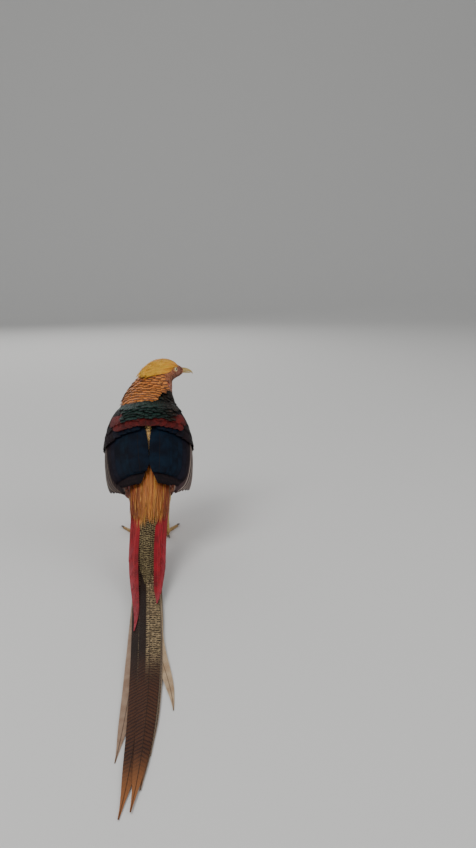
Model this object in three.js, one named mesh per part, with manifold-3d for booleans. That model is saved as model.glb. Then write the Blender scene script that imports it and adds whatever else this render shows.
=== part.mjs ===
// A golden pheasant cock, life size, standing with its head turned to its right and its long tail laid on
// the floor behind it. Millimetres, +Z up. The bird faces -Y, so its left side is +X.
import * as THREE from "three";
import { mergeVertices } from "three/addons/utils/BufferGeometryUtils.js";
import Module from "manifold-3d";

const wasm = await Module();
wasm.setup();

// Driving dimensions.
const GAP = 0.3; // between nodes that touch
const TAIL_LENGTH = 670; // of the middle pair, along the feather
const VANE = 0.6; // thickness of a feather's vane
const CAPE_SWING = [8, 20]; // degrees that the cape hangs over to the left, at its lower edge and above
const CAPE_SLANT = 0.32; // of a station: how much lower its right side hangs than its middle

// The body is one run of sections from the tail root (0) to the bill base (12). Each has a point on the
// spine, the way it faces, its half sizes, and the half sizes of the folded wings' inner face round it.
const STATIONS = [
  { at: [0, 92, 86], pitch: 38, yaw: 0, side: 17, back: 13, belly: 15, wing: [50, 33, 36] },
  { at: [0, 69, 105], pitch: 39, yaw: 0, side: 34, back: 27, belly: 30, wing: [63, 39, 44] },
  { at: [0, 42, 127], pitch: 39, yaw: 0, side: 51, back: 38, belly: 44, wing: [68, 42, 49] },
  { at: [0, 14, 149], pitch: 39, yaw: 0, side: 60, back: 46, belly: 51, wing: [68.5, 47, 53] },
  { at: [0, -13, 171], pitch: 40, yaw: 0, side: 61, back: 48, belly: 51, wing: [64, 48, 52] },
  { at: [0, -37, 193], pitch: 43, yaw: 0, side: 54, back: 44, belly: 45, wing: [55, 44, 45] },
  { at: [-2, -55, 214], pitch: 52, yaw: 0, side: 42, back: 37, belly: 38, wing: [42, 37, 38] },
  { at: [-9, -68, 235], pitch: 62, yaw: 18, side: 34, back: 28, belly: 32, wing: [34, 28, 32] },
  { at: [-18, -76, 250], pitch: 48, yaw: 38, side: 27, back: 22, belly: 27, wing: [27, 22, 27] },
  { at: [-30, -84, 261], pitch: 20, yaw: 53, side: 20, back: 17.5, belly: 21, wing: [20, 17, 21] },
  { at: [-42, -92, 265], pitch: 2, yaw: 56, side: 15.5, back: 15, belly: 16.5, wing: [16, 15, 17] },
  { at: [-53, -99, 264], pitch: -6, yaw: 56, side: 11, back: 10.5, belly: 11.5, wing: [12, 11, 12] },
  { at: [-60.5, -104, 262], pitch: -8, yaw: 56, side: 6.2, back: 6.2, belly: 6.6, wing: [6, 6, 7] },
];
const BILL_BASE = STATIONS.length - 1;
const NECK_TOP = 8.3; // where the head meets the neck
const NECK_BASE = 6; // where the neck meets the torso
const TAIL_ROOT = 0.85; // where the torso meets the tail

// The crest's own run of sections, from the forehead (0) to the tip behind the nape (6).
const CREST_STATIONS = [
  { at: [-57, -102, 265], side: 7, back: 8 },
  { at: [-45.5, -94, 264], side: 15.5, back: 18 },
  { at: [-33, -84.5, 263], side: 19.5, back: 22.5 },
  { at: [-19.5, -74.5, 262], side: 20, back: 22.5 },
  { at: [-6, -64.5, 261], side: 17, back: 18 },
  { at: [7, -55, 257.5], side: 12, back: 13 },
  { at: [19, -46, 252.5], side: 6, back: 7 },
];
const CREST_YAW = 56;
const CREST_PITCH = 8;

// The tail leaves the body at this slope, in degrees, and lies level on the floor from TAIL_FLOOR on.
const TAIL_SLOPE = 38;
const TAIL_FLOOR = 262;
const TAIL_START = { y: 70, z: 104 };
const TAIL_LEAN = 6; // how far it stands to the left behind its root
const TAIL_DRIFT = 21; // how much further its tip lies to the left
const TAIL_RIDGE = 3; // how far its middle stands up over its edges

const UP = new THREE.Vector3(0, 0, 1);
const radians = THREE.MathUtils.degToRad;
const clamp = THREE.MathUtils.clamp;
const lerp = THREE.MathUtils.lerp;

// A smooth value through evenly numbered values.
function spline(values, u) {
  const last = values.length - 1;
  const i = clamp(Math.floor(u), 0, last - 1);
  const t = u - i;
  const [a, b, c, d] = [i - 1, i, i + 1, i + 2].map((k) => values[clamp(k, 0, last)]);
  return b + 0.5 * t * (c - a + t * (2 * a - 5 * b + 4 * c - d + t * (3 * (b - c) + d - a)));
}

const smooth = (t) => {
  const s = clamp(t, 0, 1);
  return s * s * (3 - 2 * s);
};

// The directions of a section: ahead along the spine, to the bird's left, and up its back.
function axesOf(pitch, yaw) {
  const [p, w] = [radians(pitch), radians(yaw)];
  const ahead = new THREE.Vector3(-Math.sin(w) * Math.cos(p), -Math.cos(w) * Math.cos(p), Math.sin(p));
  const left = new THREE.Vector3(Math.cos(w), -Math.sin(w), 0);
  return { ahead, left, back: ahead.clone().cross(left) };
}

// A bare surface (u, angle) => point, made into (u, angle, height) => the point at that height off it. The
// step is negative where u runs towards the tail.
function raised(onSkin, step) {
  return (u, angle, height = 0) => {
    const p = onSkin(u, angle);
    if (!height) return p;
    const along = onSkin(u + step, angle).sub(onSkin(u - step, angle));
    const round = onSkin(u, angle + 1).sub(onSkin(u, angle - 1));
    return p.addScaledVector(along.cross(round).normalize(), height);
  };
}

// A surface of elliptical sections. sectionAt(u) gives centre, axes and half sizes. The angle goes round the
// section in degrees, 0 on the back and 90 on the left.
function surfaceOf(sectionAt) {
  return raised((u, angle) => {
    const { centre, left, back, side, top, bottom } = sectionAt(u);
    const a = radians(angle);
    const rise = Math.cos(a) > 0 ? top : bottom;
    return centre
      .clone()
      .addScaledVector(left, side * Math.sin(a))
      .addScaledVector(back, rise * Math.cos(a));
  }, 0.04);
}

function bodySection(u, sizes) {
  const value = (read) => spline(STATIONS.map(read), u);
  const axes = axesOf(value((s) => s.pitch), value((s) => s.yaw));
  const centre = new THREE.Vector3(...[0, 1, 2].map((k) => value((s) => s.at[k])));
  const [side, top, bottom] = [0, 1, 2].map((k) => value((s) => sizes(s)[k]));
  return { centre, ...axes, side, top, bottom };
}
const onBody = surfaceOf((u) => bodySection(u, (s) => [s.side, s.back, s.belly]));
const onWing = surfaceOf((u) => bodySection(u, (s) => s.wing));

const onCrest = surfaceOf((u) => {
  const value = (read) => spline(CREST_STATIONS.map(read), u);
  const centre = new THREE.Vector3(...[0, 1, 2].map((k) => value((s) => s.at[k])));
  // Its sections run backwards, so that they face the tail.
  const { ahead, left, back } = axesOf(CREST_PITCH, CREST_YAW);
  return {
    centre,
    ahead: ahead.negate(),
    left: left.negate(),
    back,
    side: value((s) => s.side),
    top: value((s) => s.back),
    bottom: value((s) => s.side) * 0.5,
  };
});

// The tail's own surface: distance from its root, millimetres to the left, and height off its underside.
const TAIL_STEPS = 160;
const TAIL_CURVE = (() => {
  const slopeAt = (s) => radians(TAIL_SLOPE) * (1 - smooth((s - 30) / (TAIL_FLOOR - 30)));
  const step = TAIL_LENGTH / TAIL_STEPS;
  const points = [{ y: TAIL_START.y, z: TAIL_START.z, slope: slopeAt(0) }];
  for (let i = 1; i <= TAIL_STEPS; i += 1) {
    const before = points[i - 1];
    const slope = slopeAt((i - 0.5) * step);
    const [y, z] = [before.y + step * Math.cos(slope), before.z - step * Math.sin(slope)];
    points.push({ y, z, slope: slopeAt(i * step) });
  }
  // The curve's end is set on the floor exactly, with the small error shared out along the sloping part.
  const error = points[TAIL_STEPS].z;
  points.forEach((p, i) => {
    p.z -= error * smooth((i * step) / TAIL_FLOOR);
  });
  return points;
})();
function onTail(s, x, height) {
  const f = Math.min((s / TAIL_LENGTH) * TAIL_STEPS, TAIL_STEPS);
  const i = clamp(Math.floor(f), 0, TAIL_STEPS - 1);
  const [a, b] = [TAIL_CURVE[i], TAIL_CURVE[i + 1]];
  const mix = (key) => lerp(a[key], b[key], f - i);
  const slope = lerp(a.slope, b.slope, clamp(f - i, 0, 1));
  const ridge = TAIL_RIDGE * smooth(s / 60) * smooth((560 - s) / 300) * Math.max(0, 1 - (x / 30) ** 2);
  const up = height + ridge;
  const drift = TAIL_LEAN * smooth((s - 20) / 130) + TAIL_DRIFT * (Math.max(0, s) / TAIL_LENGTH) ** 5;
  return new THREE.Vector3(x + drift, mix("y") + up * Math.sin(slope), mix("z") + up * Math.cos(slope));
}

// Closed bodies.

function geometryOf(points, faces) {
  const geometry = new THREE.BufferGeometry();
  const places = points.flatMap((p) => [p.x, p.y, p.z]);
  geometry.setAttribute("position", new THREE.Float32BufferAttribute(places, 3));
  geometry.setIndex(faces.flat());
  return geometry;
}

// A solid from a geometry, turned to face outwards.
function solidOf(geometry) {
  const bare = geometry.clone();
  bare.deleteAttribute("normal");
  bare.deleteAttribute("uv");
  const merged = mergeVertices(bare, 1e-4);
  const make = (triVerts) =>
    new wasm.Manifold(
      new wasm.Mesh({ numProp: 3, vertProperties: merged.attributes.position.array, triVerts }),
    );
  const index = Uint32Array.from(merged.index.array);
  const made = make(index);
  if (made.volume() > 0) return made;
  for (let i = 0; i < index.length; i += 3) [index[i + 1], index[i + 2]] = [index[i + 2], index[i + 1]];
  return make(index);
}

// A body through rings of points that all have the same count, closed at both ends.
function ringSolid(rings) {
  const n = rings[0].length;
  const points = rings.flat();
  const faces = [];
  for (let i = 0; i < rings.length - 1; i += 1) {
    for (let j = 0; j < n; j += 1) {
      const [a, b] = [i * n + j, i * n + ((j + 1) % n)];
      faces.push([a, b, b + n], [a, b + n, a + n]);
    }
  }
  const middle = (ring) => ring.reduce((sum, p) => sum.add(p), new THREE.Vector3()).divideScalar(n);
  const last = (rings.length - 1) * n;
  points.push(middle(rings[0]), middle(rings[rings.length - 1]));
  for (let j = 0; j < n; j += 1) {
    const k = (j + 1) % n;
    faces.push([points.length - 2, k, j], [points.length - 1, last + j, last + k]);
  }
  return solidOf(geometryOf(points, faces));
}

// A stretch of a surface as a solid body, grown by height.
function stretch(surface, from, to, steps, sides, height = 0) {
  const rings = [];
  for (let i = 0; i <= steps; i += 1) {
    const u = lerp(from, to, i / steps);
    rings.push(Array.from({ length: sides }, (_, j) => surface(u, (360 * j) / sides, height)));
  }
  return ringSolid(rings);
}

// A plate on a surface. at(i, j) gives {inner, outer} points, with i and j from 0 to 1.
function plate(at, rows, columns) {
  const points = [];
  const faces = [];
  const place = (i, j, outer) => (i * (columns + 1) + j) * 2 + outer;
  for (let i = 0; i <= rows; i += 1) {
    for (let j = 0; j <= columns; j += 1) {
      const { inner, outer } = at(i / rows, j / columns);
      points.push(inner, outer);
    }
  }
  const quad = (a, b, c, d) => faces.push([a, b, c], [a, c, d]);
  for (let i = 0; i < rows; i += 1) {
    for (let j = 0; j < columns; j += 1) {
      quad(place(i, j, 1), place(i, j + 1, 1), place(i + 1, j + 1, 1), place(i + 1, j, 1));
      const [a, b, c, d] = [place(i, j, 0), place(i, j + 1, 0), place(i + 1, j + 1, 0), place(i + 1, j, 0)];
      faces.push([a, c, b], [a, d, c]);
    }
  }
  for (let j = 0; j < columns; j += 1) {
    quad(place(0, j, 0), place(0, j + 1, 0), place(0, j + 1, 1), place(0, j, 1));
    quad(place(rows, j, 0), place(rows, j, 1), place(rows, j + 1, 1), place(rows, j + 1, 0));
  }
  for (let i = 0; i < rows; i += 1) {
    quad(place(i, 0, 0), place(i, 0, 1), place(i + 1, 0, 1), place(i + 1, 0, 0));
    quad(place(i, columns, 0), place(i + 1, columns, 0), place(i + 1, columns, 1), place(i, columns, 1));
  }
  return solidOf(geometryOf(points, faces));
}

// Half widths of a vane from root to tip, as shares of its widest.
const LOCK = [0.5, 0.9, 1, 0.8, 0.22];
const SQUARE = [0.45, 0.8, 1, 1, 0.86];
const BLADE = [0.4, 0.85, 1, 0.98, 0.8, 0.28];
const TAIL_BLADE = [0.3, 0.62, 0.85, 0.97, 1, 1, 0.97, 0.9, 0.75, 0.5, 0.16];

// Vanes that lie on each other are bent at the same places of the surface, at multiples of the grid, so that
// they keep apart. The result is those places as shares of the way from root to tip, with both ends.
function stopsAlong(from, to, grid) {
  const places = Array.isArray(grid)
    ? grid
    : Array.from({ length: Math.ceil(12 / grid) }, (_, i) => i * grid);
  const shares = places.map((place) => (place - from) / (to - from));
  const room = Array.isArray(grid) ? 0.03 : (0.3 * grid) / Math.abs(to - from);
  return [0, ...shares.filter((t) => t > room && t < 1 - room).sort((a, b) => a - b), 1];
}

// A feather's vane on a surface, from its root place to its tip place. Its height rises steadily from root
// to tip, or over the first part only if it is sharp. A tilt raises its outer edge over its inner one, and a
// step raises all of it but the root.
function vane(surface, { root, tip, half, lift, shape, grid, sharp = 0, tilt = 0, step = 0, columns = 2 }) {
  const stops = stopsAlong(root[0], tip[0], grid);
  const centre = (t) => [lerp(root[0], tip[0], t), lerp(root[1], tip[1], t)];
  const slope = (u, v, du, dv) =>
    surface(u + du, v + dv, 0)
      .sub(surface(u - du, v - dv, 0))
      .divideScalar(2 * (du + dv));
  return plate((i, j) => {
    const t = stops[Math.round(i * (stops.length - 1))];
    const [u, v] = centre(t);
    const [alongU, alongV] = [slope(u, v, 0.01, 0), slope(u, v, 0, 0.1)];
    const run = alongU.clone().multiplyScalar(tip[0] - root[0]).addScaledVector(alongV, tip[1] - root[1]);
    const out = alongU.clone().cross(alongV);
    // Sideways on the surface, in the sense in which v grows.
    const across = out.cross(run).normalize();
    if (across.dot(alongV) < 0) across.negate();
    const [uu, vv, uv] = [alongU.dot(alongU), alongV.dot(alongV), alongU.dot(alongV)];
    const [pu, pv] = [across.dot(alongU), across.dot(alongV)];
    const share = uu * vv - uv * uv;
    const reach = (2 * j - 1) * half * spline(shape, t * (shape.length - 1));
    const [du, dv] = [((vv * pu - uv * pv) * reach) / share, ((uu * pv - uv * pu) * reach) / share];
    const clear = smooth(t * (sharp || 4.5));
    const rise = lerp(lift[0], lift[1], sharp ? clear : t) + (tilt * reach + step) * clear;
    const thick = VANE * Math.min(1, 1.6 - 1.25 * t);
    return { inner: surface(u + du, v + dv, rise), outer: surface(u + du, v + dv, rise + thick) };
  }, stops.length - 1, columns);
}

// A round limb through points with a radius at each, and flat ends.
function limb(path, radii, sides, perPart = 4) {
  const curve = new THREE.CatmullRomCurve3(path);
  const steps = perPart * (path.length - 1);
  const rings = [];
  const start = curve.getTangent(0);
  const across = Math.abs(start.x) > 0.9 ? UP.clone() : new THREE.Vector3(1, 0, 0);
  for (let i = 0; i <= steps; i += 1) {
    const t = i / steps;
    const along = curve.getTangent(t);
    // Each ring's axis is the one before it, laid square to the path, so that the limb doesn't twist.
    across.addScaledVector(along, -across.dot(along)).normalize();
    const over = along.clone().cross(across);
    const r = spline(radii, t * (radii.length - 1));
    rings.push(
      Array.from({ length: sides }, (_, j) => {
        const a = (2 * Math.PI * j) / sides;
        return curve
          .getPoint(t)
          .addScaledVector(across, r * Math.cos(a))
          .addScaledVector(over, r * Math.sin(a));
      }),
    );
  }
  return ringSolid(rings);
}

function ball(centre, sizes, detail = 12) {
  const geometry = new THREE.SphereGeometry(1, detail, Math.round(detail * 0.7));
  geometry.scale(...sizes);
  geometry.translate(centre.x, centre.y, centre.z);
  return solidOf(geometry);
}

const joined = (solids) => wasm.Manifold.union(solids);

// The largest closed surface of a solid.
function largest(solid) {
  return solid.decompose().reduce((best, s) => (s.volume() > best.volume() ? s : best));
}

// The triangles on every edge of a mesh, keyed by the edge's two corners.
function edgesOf(triangles) {
  const edges = new Map();
  triangles.forEach((corners, face) => {
    corners.forEach((from, k) => {
      const to = corners[(k + 1) % 3];
      const key = `${Math.min(from, to)},${Math.max(from, to)}`;
      if (!edges.has(key)) edges.set(key, []);
      edges.get(key).push({ face, k, forward: from < to });
    });
  });
  return edges;
}

// A written solid can't tell apart two edges between the same two corners. Each such pair is parted: both
// get a middle corner, drawn a hair's breadth into the solid.
const PARTED = 0.03;
function partDoubledEdges(points, triangles) {
  const [key, uses] = [...edgesOf(triangles)].find(([, list]) => list.length > 2) ?? [];
  if (!key) return false;
  const [a, b] = key.split(",").map(Number);
  const axis = points[b].clone().sub(points[a]).normalize();
  const first = points[triangles[uses[0].face][(uses[0].k + 2) % 3]].clone().sub(points[a]);
  const across = first.addScaledVector(axis, -first.dot(axis)).normalize();
  const over = axis.clone().cross(across);
  const turned = uses.map((use) => {
    const d = points[triangles[use.face][(use.k + 2) % 3]].clone().sub(points[a]);
    return { ...use, turn: Math.atan2(d.dot(over), d.dot(across)) };
  });
  const ends = turned.filter((use) => use.forward);
  for (const start of turned.filter((use) => !use.forward)) {
    // The solid lies between a backward face and the next forward one round the edge.
    const ahead = (end) => (end.turn - start.turn + 4 * Math.PI) % (2 * Math.PI);
    ends.sort((p, q) => ahead(p) - ahead(q));
    const end = ends.shift();
    const turn = start.turn + ahead(end) / 2;
    const middle = points[a].clone().lerp(points[b], 0.5);
    middle.addScaledVector(across, PARTED * Math.cos(turn)).addScaledVector(over, PARTED * Math.sin(turn));
    points.push(middle);
    for (const { face, k } of [start, end]) {
      const [from, to, far] = [0, 1, 2].map((n) => triangles[face][(k + n) % 3]);
      triangles[face] = [from, points.length - 1, far];
      triangles.push([points.length - 1, to, far]);
    }
  }
  return true;
}

const bird = new THREE.Group();
bird.name = "golden_pheasant";

function addNode(name, solid, material) {
  // Cleaned of the slivers that joins and cuts leave, and with corners at the same place made one.
  const { numProp, numVert, vertProperties, triVerts } = largest(solid.simplify(0.06)).getMesh();
  const points = [];
  const places = new Map();
  const ids = Array.from({ length: numVert }, (_, i) => {
    const p = new THREE.Vector3().fromArray(vertProperties, i * numProp);
    const key = p.toArray().map((v) => Math.round(v * 500)).join();
    if (!places.has(key)) places.set(key, points.push(p) - 1);
    return places.get(key);
  });
  const triangles = [];
  for (let i = 0; i < triVerts.length; i += 3) {
    const corners = [0, 1, 2].map((k) => ids[triVerts[i + k]]);
    if (new Set(corners).size === 3) triangles.push(corners);
  }
  while (partDoubledEdges(points, triangles));
  const geometry = geometryOf(points, triangles);
  geometry.computeVertexNormals();
  const mesh = new THREE.Mesh(geometry, material);
  mesh.name = name;
  bird.add(mesh);
}

const paint = (color, roughness) => new THREE.MeshStandardMaterial({ color, roughness, metalness: 0 });
const PAINTS = {
  scarlet: paint(0xa81c12, 0.7),
  cape: paint(0xc4702c, 0.65),
  gold: paint(0xd99a1c, 0.6),
  face: paint(0xb5683a, 0.75),
  bill: paint(0xc9b070, 0.4),
  eye: paint(0xe8d27a, 0.08),
  wing: paint(0x1c1f33, 0.55),
  tail: paint(0x5a4630, 0.6),
  coverts: paint(0xb02a18, 0.65),
  leg: paint(0xc4a24a, 0.5),
  claw: paint(0x54412c, 0.35),
};

// Trunk, neck and head.
const U_GAP = 0.012; // of a station: about the gap that touching nodes keep
const torso = stretch(onBody, TAIL_ROOT, NECK_BASE - U_GAP, 12, 22);
const neck = stretch(onBody, NECK_BASE, NECK_TOP - U_GAP, 5, 20);
const skull = stretch(onBody, NECK_TOP, BILL_BASE, 8, 16);

// The eyes, with the cut that seats each and the lids round it.
const EYE = { station: 9.95, angle: 76, radius: 4.7, sunk: 2.9, lid: 0.95 };
function eyeAt(side) {
  const outer = onBody(EYE.station, side * EYE.angle, 0);
  const out = onBody(EYE.station, side * EYE.angle, 10).sub(outer).normalize();
  return { centre: outer.clone().addScaledVector(out, -EYE.sunk), out };
}
function lidRing(side) {
  const { centre, out } = eyeAt(side);
  const ring = new THREE.TorusGeometry(EYE.radius * 0.86, EYE.lid, 4, 10);
  ring.applyQuaternion(new THREE.Quaternion().setFromUnitVectors(UP, out));
  const rim = centre.addScaledVector(out, EYE.sunk - 0.35);
  ring.translate(rim.x, rim.y, rim.z);
  return solidOf(ring);
}
const SIDES = { left: 1, right: -1 };
const lids = Object.values(SIDES).map(lidRing);
const sockets = Object.values(SIDES).map((side) => {
  const r = EYE.radius + GAP + 0.15;
  return ball(eyeAt(side).centre, [r, r, r], 10);
});
const head = joined([skull, ...lids]).subtract(joined(sockets));

addNode("torso", torso, PAINTS.scarlet);
addNode("neck", neck, PAINTS.face);
addNode("head", head, PAINTS.face);
for (const [name, side] of Object.entries(SIDES)) {
  addNode(`eye_${name}`, ball(eyeAt(side).centre, [EYE.radius, EYE.radius, EYE.radius], 12), PAINTS.eye);
}

// The bill, in its own axes at the bill base.
const BILL = bodySection(BILL_BASE, (s) => [s.side, s.back, s.belly]);
function inBill(x, y, z) {
  return BILL.centre
    .clone()
    .addScaledVector(BILL.ahead, x)
    .addScaledVector(BILL.left, y)
    .addScaledVector(BILL.back, z);
}
// Length along the bill, half width, height off the mouth line, and how far the mouth line has dropped.
const UPPER_BILL = [
  [GAP, 5.2, 5.6, 0],
  [6, 4.8, 5.6, 0.1],
  [12, 3.8, 5.0, 0.4],
  [18, 2.5, 3.9, 1.1],
  [22.5, 1.4, 2.7, 2.4],
  [25.5, 0.45, 1.1, 4.6],
];
const LOWER_BILL = [
  [GAP, 4.9, 3.4, 0],
  [7, 4.3, 3.1, 0.1],
  [14, 3.0, 2.4, 0.6],
  [19.5, 1.3, 1.3, 1.5],
];
const MOUTH_GAP = 0.2;
function billHalf(stations, up) {
  const arc = 8;
  return ringSolid(
    stations.map(([x, wide, high, drop]) =>
      Array.from({ length: arc + 1 }, (_, j) => {
        const a = (Math.PI * j) / arc;
        return inBill(x, wide * Math.cos(a), up * (MOUTH_GAP + high * Math.sin(a)) - drop);
      }),
    ),
  );
}
const nostrils = Object.values(SIDES).map((side) => {
  const slit = ball(new THREE.Vector3(), [0.9, 2.3, 0.7], 8);
  const place = inBill(6.2, side * 4.4, 2.7);
  return slit.rotate([0, 0, -CREST_YAW]).translate([place.x, place.y, place.z]);
});
addNode("bill_upper", billHalf(UPPER_BILL, 1).subtract(joined(nostrils)), PAINTS.bill);
addNode("bill_lower", billHalf(LOWER_BILL, -1), PAINTS.bill);

// The crest: three tiers of long silky locks from the forehead and crown to behind the nape.
const headCut = stretch(onBody, NECK_BASE, BILL_BASE, 24, 22, GAP);
const CREST_CORE = { end: 3.2, sunk: -3.4 };
// Each tier: how many locks, from the lowest at the sides to the highest the stations of roots and tips, the
// angles that the outermost ones have there, half widths, and heights at root and tip.
const CREST_TIERS = [
  { count: 9, root: [2.2, 1.9], tip: [4.9, 6.0], angles: [90, 84], half: 3.3, lift: [-3.6, -2.0] },
  { count: 9, root: [1.5, 1.0], tip: [4.1, 5.2], angles: [70, 74], half: 3.5, lift: [-3.6, 0.4] },
  { count: 8, root: [0.75, 0.4], tip: [3.0, 4.1], angles: [60, 58], half: 3.5, lift: [-3.2, 2.4] },
];
const locks = CREST_TIERS.flatMap(({ count, root, tip, angles, half, lift }) =>
  Array.from({ length: count }, (_, i) => {
    const across = (2 * i) / (count - 1) - 1;
    const high = 1 - Math.abs(across);
    return vane(onCrest, {
      root: [lerp(...root, high), across * angles[0]],
      tip: [lerp(...tip, high) + (i % 3) * 0.12, across * angles[1]],
      half,
      lift,
      step: (i % 2) * 0.95,
      grid: 0.8,
      columns: 1,
      shape: LOCK,
    });
  }),
);
const crestCore = stretch(onCrest, 0, CREST_CORE.end, 6, 14, CREST_CORE.sunk);
addNode("crest", joined([crestCore, ...locks]).subtract(headCut), PAINTS.gold);

// The cape: five tiers of broad square feathers over the nape, the sides of the neck and the upper back.
const capeSwing = (u) => lerp(...CAPE_SWING, smooth((u - 4.3) / 1.9));
const CAPE_CORE = { top: 8.9, bottom: 5.4, halfAngles: [44, 64, 74, 76, 70] };
function capeCoreAt(i, j) {
  const u = lerp(CAPE_CORE.bottom, CAPE_CORE.top, i);
  const half = spline(CAPE_CORE.halfAngles, i * 4);
  const angle = lerp(-half, half, j) + capeSwing(u);
  return { inner: onBody(u, angle, GAP + 0.5), outer: onBody(u, angle, GAP + 1.6) };
}
// Each tier: how many feathers, the stations of roots and tips, the half angles there, half widths and the
// height of the tips.
const CAPE_TIERS = [
  { count: 6, root: 6.2, tip: 4.3, angles: [50, 26], half: 8.6, high: 6.0 },
  { count: 6, root: 6.9, tip: 5.25, angles: [72, 42], half: 9.2, high: 6.4 },
  { count: 7, root: 7.5, tip: 6.0, angles: [82, 68], half: 8.2, high: 6.6 },
  { count: 6, root: 8.05, tip: 6.8, angles: [78, 80], half: 7.8, high: 6.5 },
  { count: 4, root: 8.4, tip: 7.6, angles: [62, 76], half: 7, high: 5.4 },
];
const capeFeathers = CAPE_TIERS.flatMap(({ count, root, tip, angles, half, high }) =>
  Array.from({ length: count }, (_, i) => {
    const across = (2 * i) / (count - 1) - 1;
    // The tiers hang lowest in the middle.
    const drop = 0.15 * (1 - across * across);
    return vane(onBody, {
      root: [root - drop * 0.6 + across * CAPE_SLANT * 0.6, across * angles[0] + capeSwing(root)],
      tip: [tip - drop + across * CAPE_SLANT, across * angles[1] + capeSwing(tip)],
      half,
      lift: [1.2, high],
      step: (i % 2) * 1.25,
      grid: 0.75,
      shape: SQUARE,
    });
  }),
);
const crestCut = stretch(onCrest, 0, 6, 10, 14, GAP);
const neckCut = stretch(onBody, NECK_BASE, NECK_TOP - U_GAP, 5, 20, GAP);
const trunkCut = joined([stretch(onBody, TAIL_ROOT, NECK_BASE, 12, 22, GAP), neckCut]);
const cape = joined([plate(capeCoreAt, 5, 10), ...capeFeathers]);
addNode("cape", cape.subtract(joined([crestCut, trunkCut])), PAINTS.cape);

// A folded wing: a thin core with primaries, secondaries and tertials, and tiers of coverts over their
// roots. Its vanes lie like tiles, the outer edge of each one raised over its outer neighbour's inner edge.
const WING_CORE = { rear: 2.9, front: 5.15, inner: [20, 20, 34], outer: 108 };
function wingCoreAt(i, j) {
  const u = lerp(WING_CORE.rear, WING_CORE.front, i);
  const angle = lerp(spline(WING_CORE.inner, 2 * i), lerp(WING_CORE.outer, 96, i * i), j);
  return [u, angle];
}
// Each row: how many vanes, and from the outermost to the innermost one the stations and angles of roots and
// tips, half widths, heights at root and tip, and the tilt and the step that tile them.
const WING_ROWS = [
  {
    // primaries
    count: 3,
    root: [3.3, 3.1],
    from: [103, 90],
    tip: [0.62, 0.05],
    to: [86, 56],
    half: [8.5, 9],
    lift: [1.3, [0.9, 0.9]],
    tilt: 0.04,
    step: 0.85,
    sharp: 4.5,
  },
  {
    // secondaries and tertials
    count: 9,
    root: [3.75, 3.8],
    from: [107, 60, 18],
    tip: [0.7, 0.14, 0.62],
    to: [99, 56, 16],
    half: [12, 16.5],
    lift: [1.6, [3.6, 5.6]],
    tilt: 0.14,
    step: 0.15,
    sharp: 3.2,
  },
  {
    // greater coverts and scapulars
    count: 8,
    root: [4.35, 4.3],
    from: [102, 22],
    tip: [3.05, 2.8, 3.1],
    to: [99, 17],
    half: [10.5, 11],
    lift: [1.7, [6.6, 9.6]],
    tilt: 0.12,
    step: 0.2,
    sharp: 0,
  },
  {
    // median coverts
    count: 5,
    root: [4.75, 4.5],
    from: [100, 46],
    tip: [3.8, 3.55],
    to: [99, 46],
    half: [9.5, 10],
    lift: [1.7, [6.4, 8.7]],
    tilt: 0.12,
    step: 0.2,
    sharp: 0,
  },
  {
    // lesser coverts
    count: 4,
    root: [5.05, 4.95],
    from: [94, 58],
    tip: [4.45, 4.25],
    to: [96, 54],
    half: [8, 8.5],
    lift: [1.7, [5.4, 7]],
    tilt: 0.12,
    step: 0.2,
    sharp: 0,
  },
];
function wing(side) {
  const surface = (u, angle, height) => onWing(u, side * angle, height);
  const core = plate((i, j) => {
    const [u, angle] = wingCoreAt(i, j);
    return { inner: surface(u, angle, 0.9), outer: surface(u, angle, 2.3) };
  }, 4, 5);
  const vanes = WING_ROWS.flatMap(({ count, root, from, tip, to, half, lift, tilt, step, sharp }) =>
    Array.from({ length: count }, (_, i) => {
      const f = i / (count - 1);
      const along = (values) => spline(values, f * (values.length - 1));
      return vane(surface, {
        root: [along(root), along(from)],
        tip: [along(tip), along(to)],
        half: along(half),
        lift: [lift[0], along(lift[1])],
        tilt,
        step: step * i,
        sharp,
        grid: 0.9,
        shape: BLADE,
      });
    }),
  );
  return joined([core, ...vanes]);
}
for (const [name, side] of Object.entries(SIDES)) {
  addNode(`wing_${name}`, wing(side), PAINTS.wing);
}

const torsoCut = stretch(onBody, TAIL_ROOT - U_GAP, NECK_BASE, 12, 22, GAP);

// The tail: nine pairs of feathers, each pair longer than the next one out and lying on it. The two middle
// feathers lie one on the other, and the rest lie at either side of the middle.
const TAIL_PAIRS = 9;
const PAIR_SHARE = [1, 0.955, 0.88, 0.765, 0.6, 0.48, 0.385, 0.31, 0.25];
const PAIR_LENGTH = PAIR_SHARE.map((share) => share * TAIL_LENGTH);
const PAIR_HALF = [13, 10.5, 10, 9.5, 9, 8.5, 8, 7.5, 7];
const PAIR_OUT = [0, 7, 11, 13.5, 15, 15.8, 16.3, 16.7, 17]; // how far out the tips of each pair lie
const MIDDLE_OUT = { left: 6.5, right: 2.5 }; // and those of the two that lie one on the other
const TAIL_ROOT_AT = 6;
const STRAY = { pair: 3, side: -1, from: 330, length: 180, out: 21 }; // one feather that bends away outwards
const TAIL_BENDS = [34, 68, 102, 136, 170, 205, 240, 280, 360, 450, 530, 590, 635];
const LAYER = 1.0; // between the undersides of feathers that lie on each other
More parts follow.
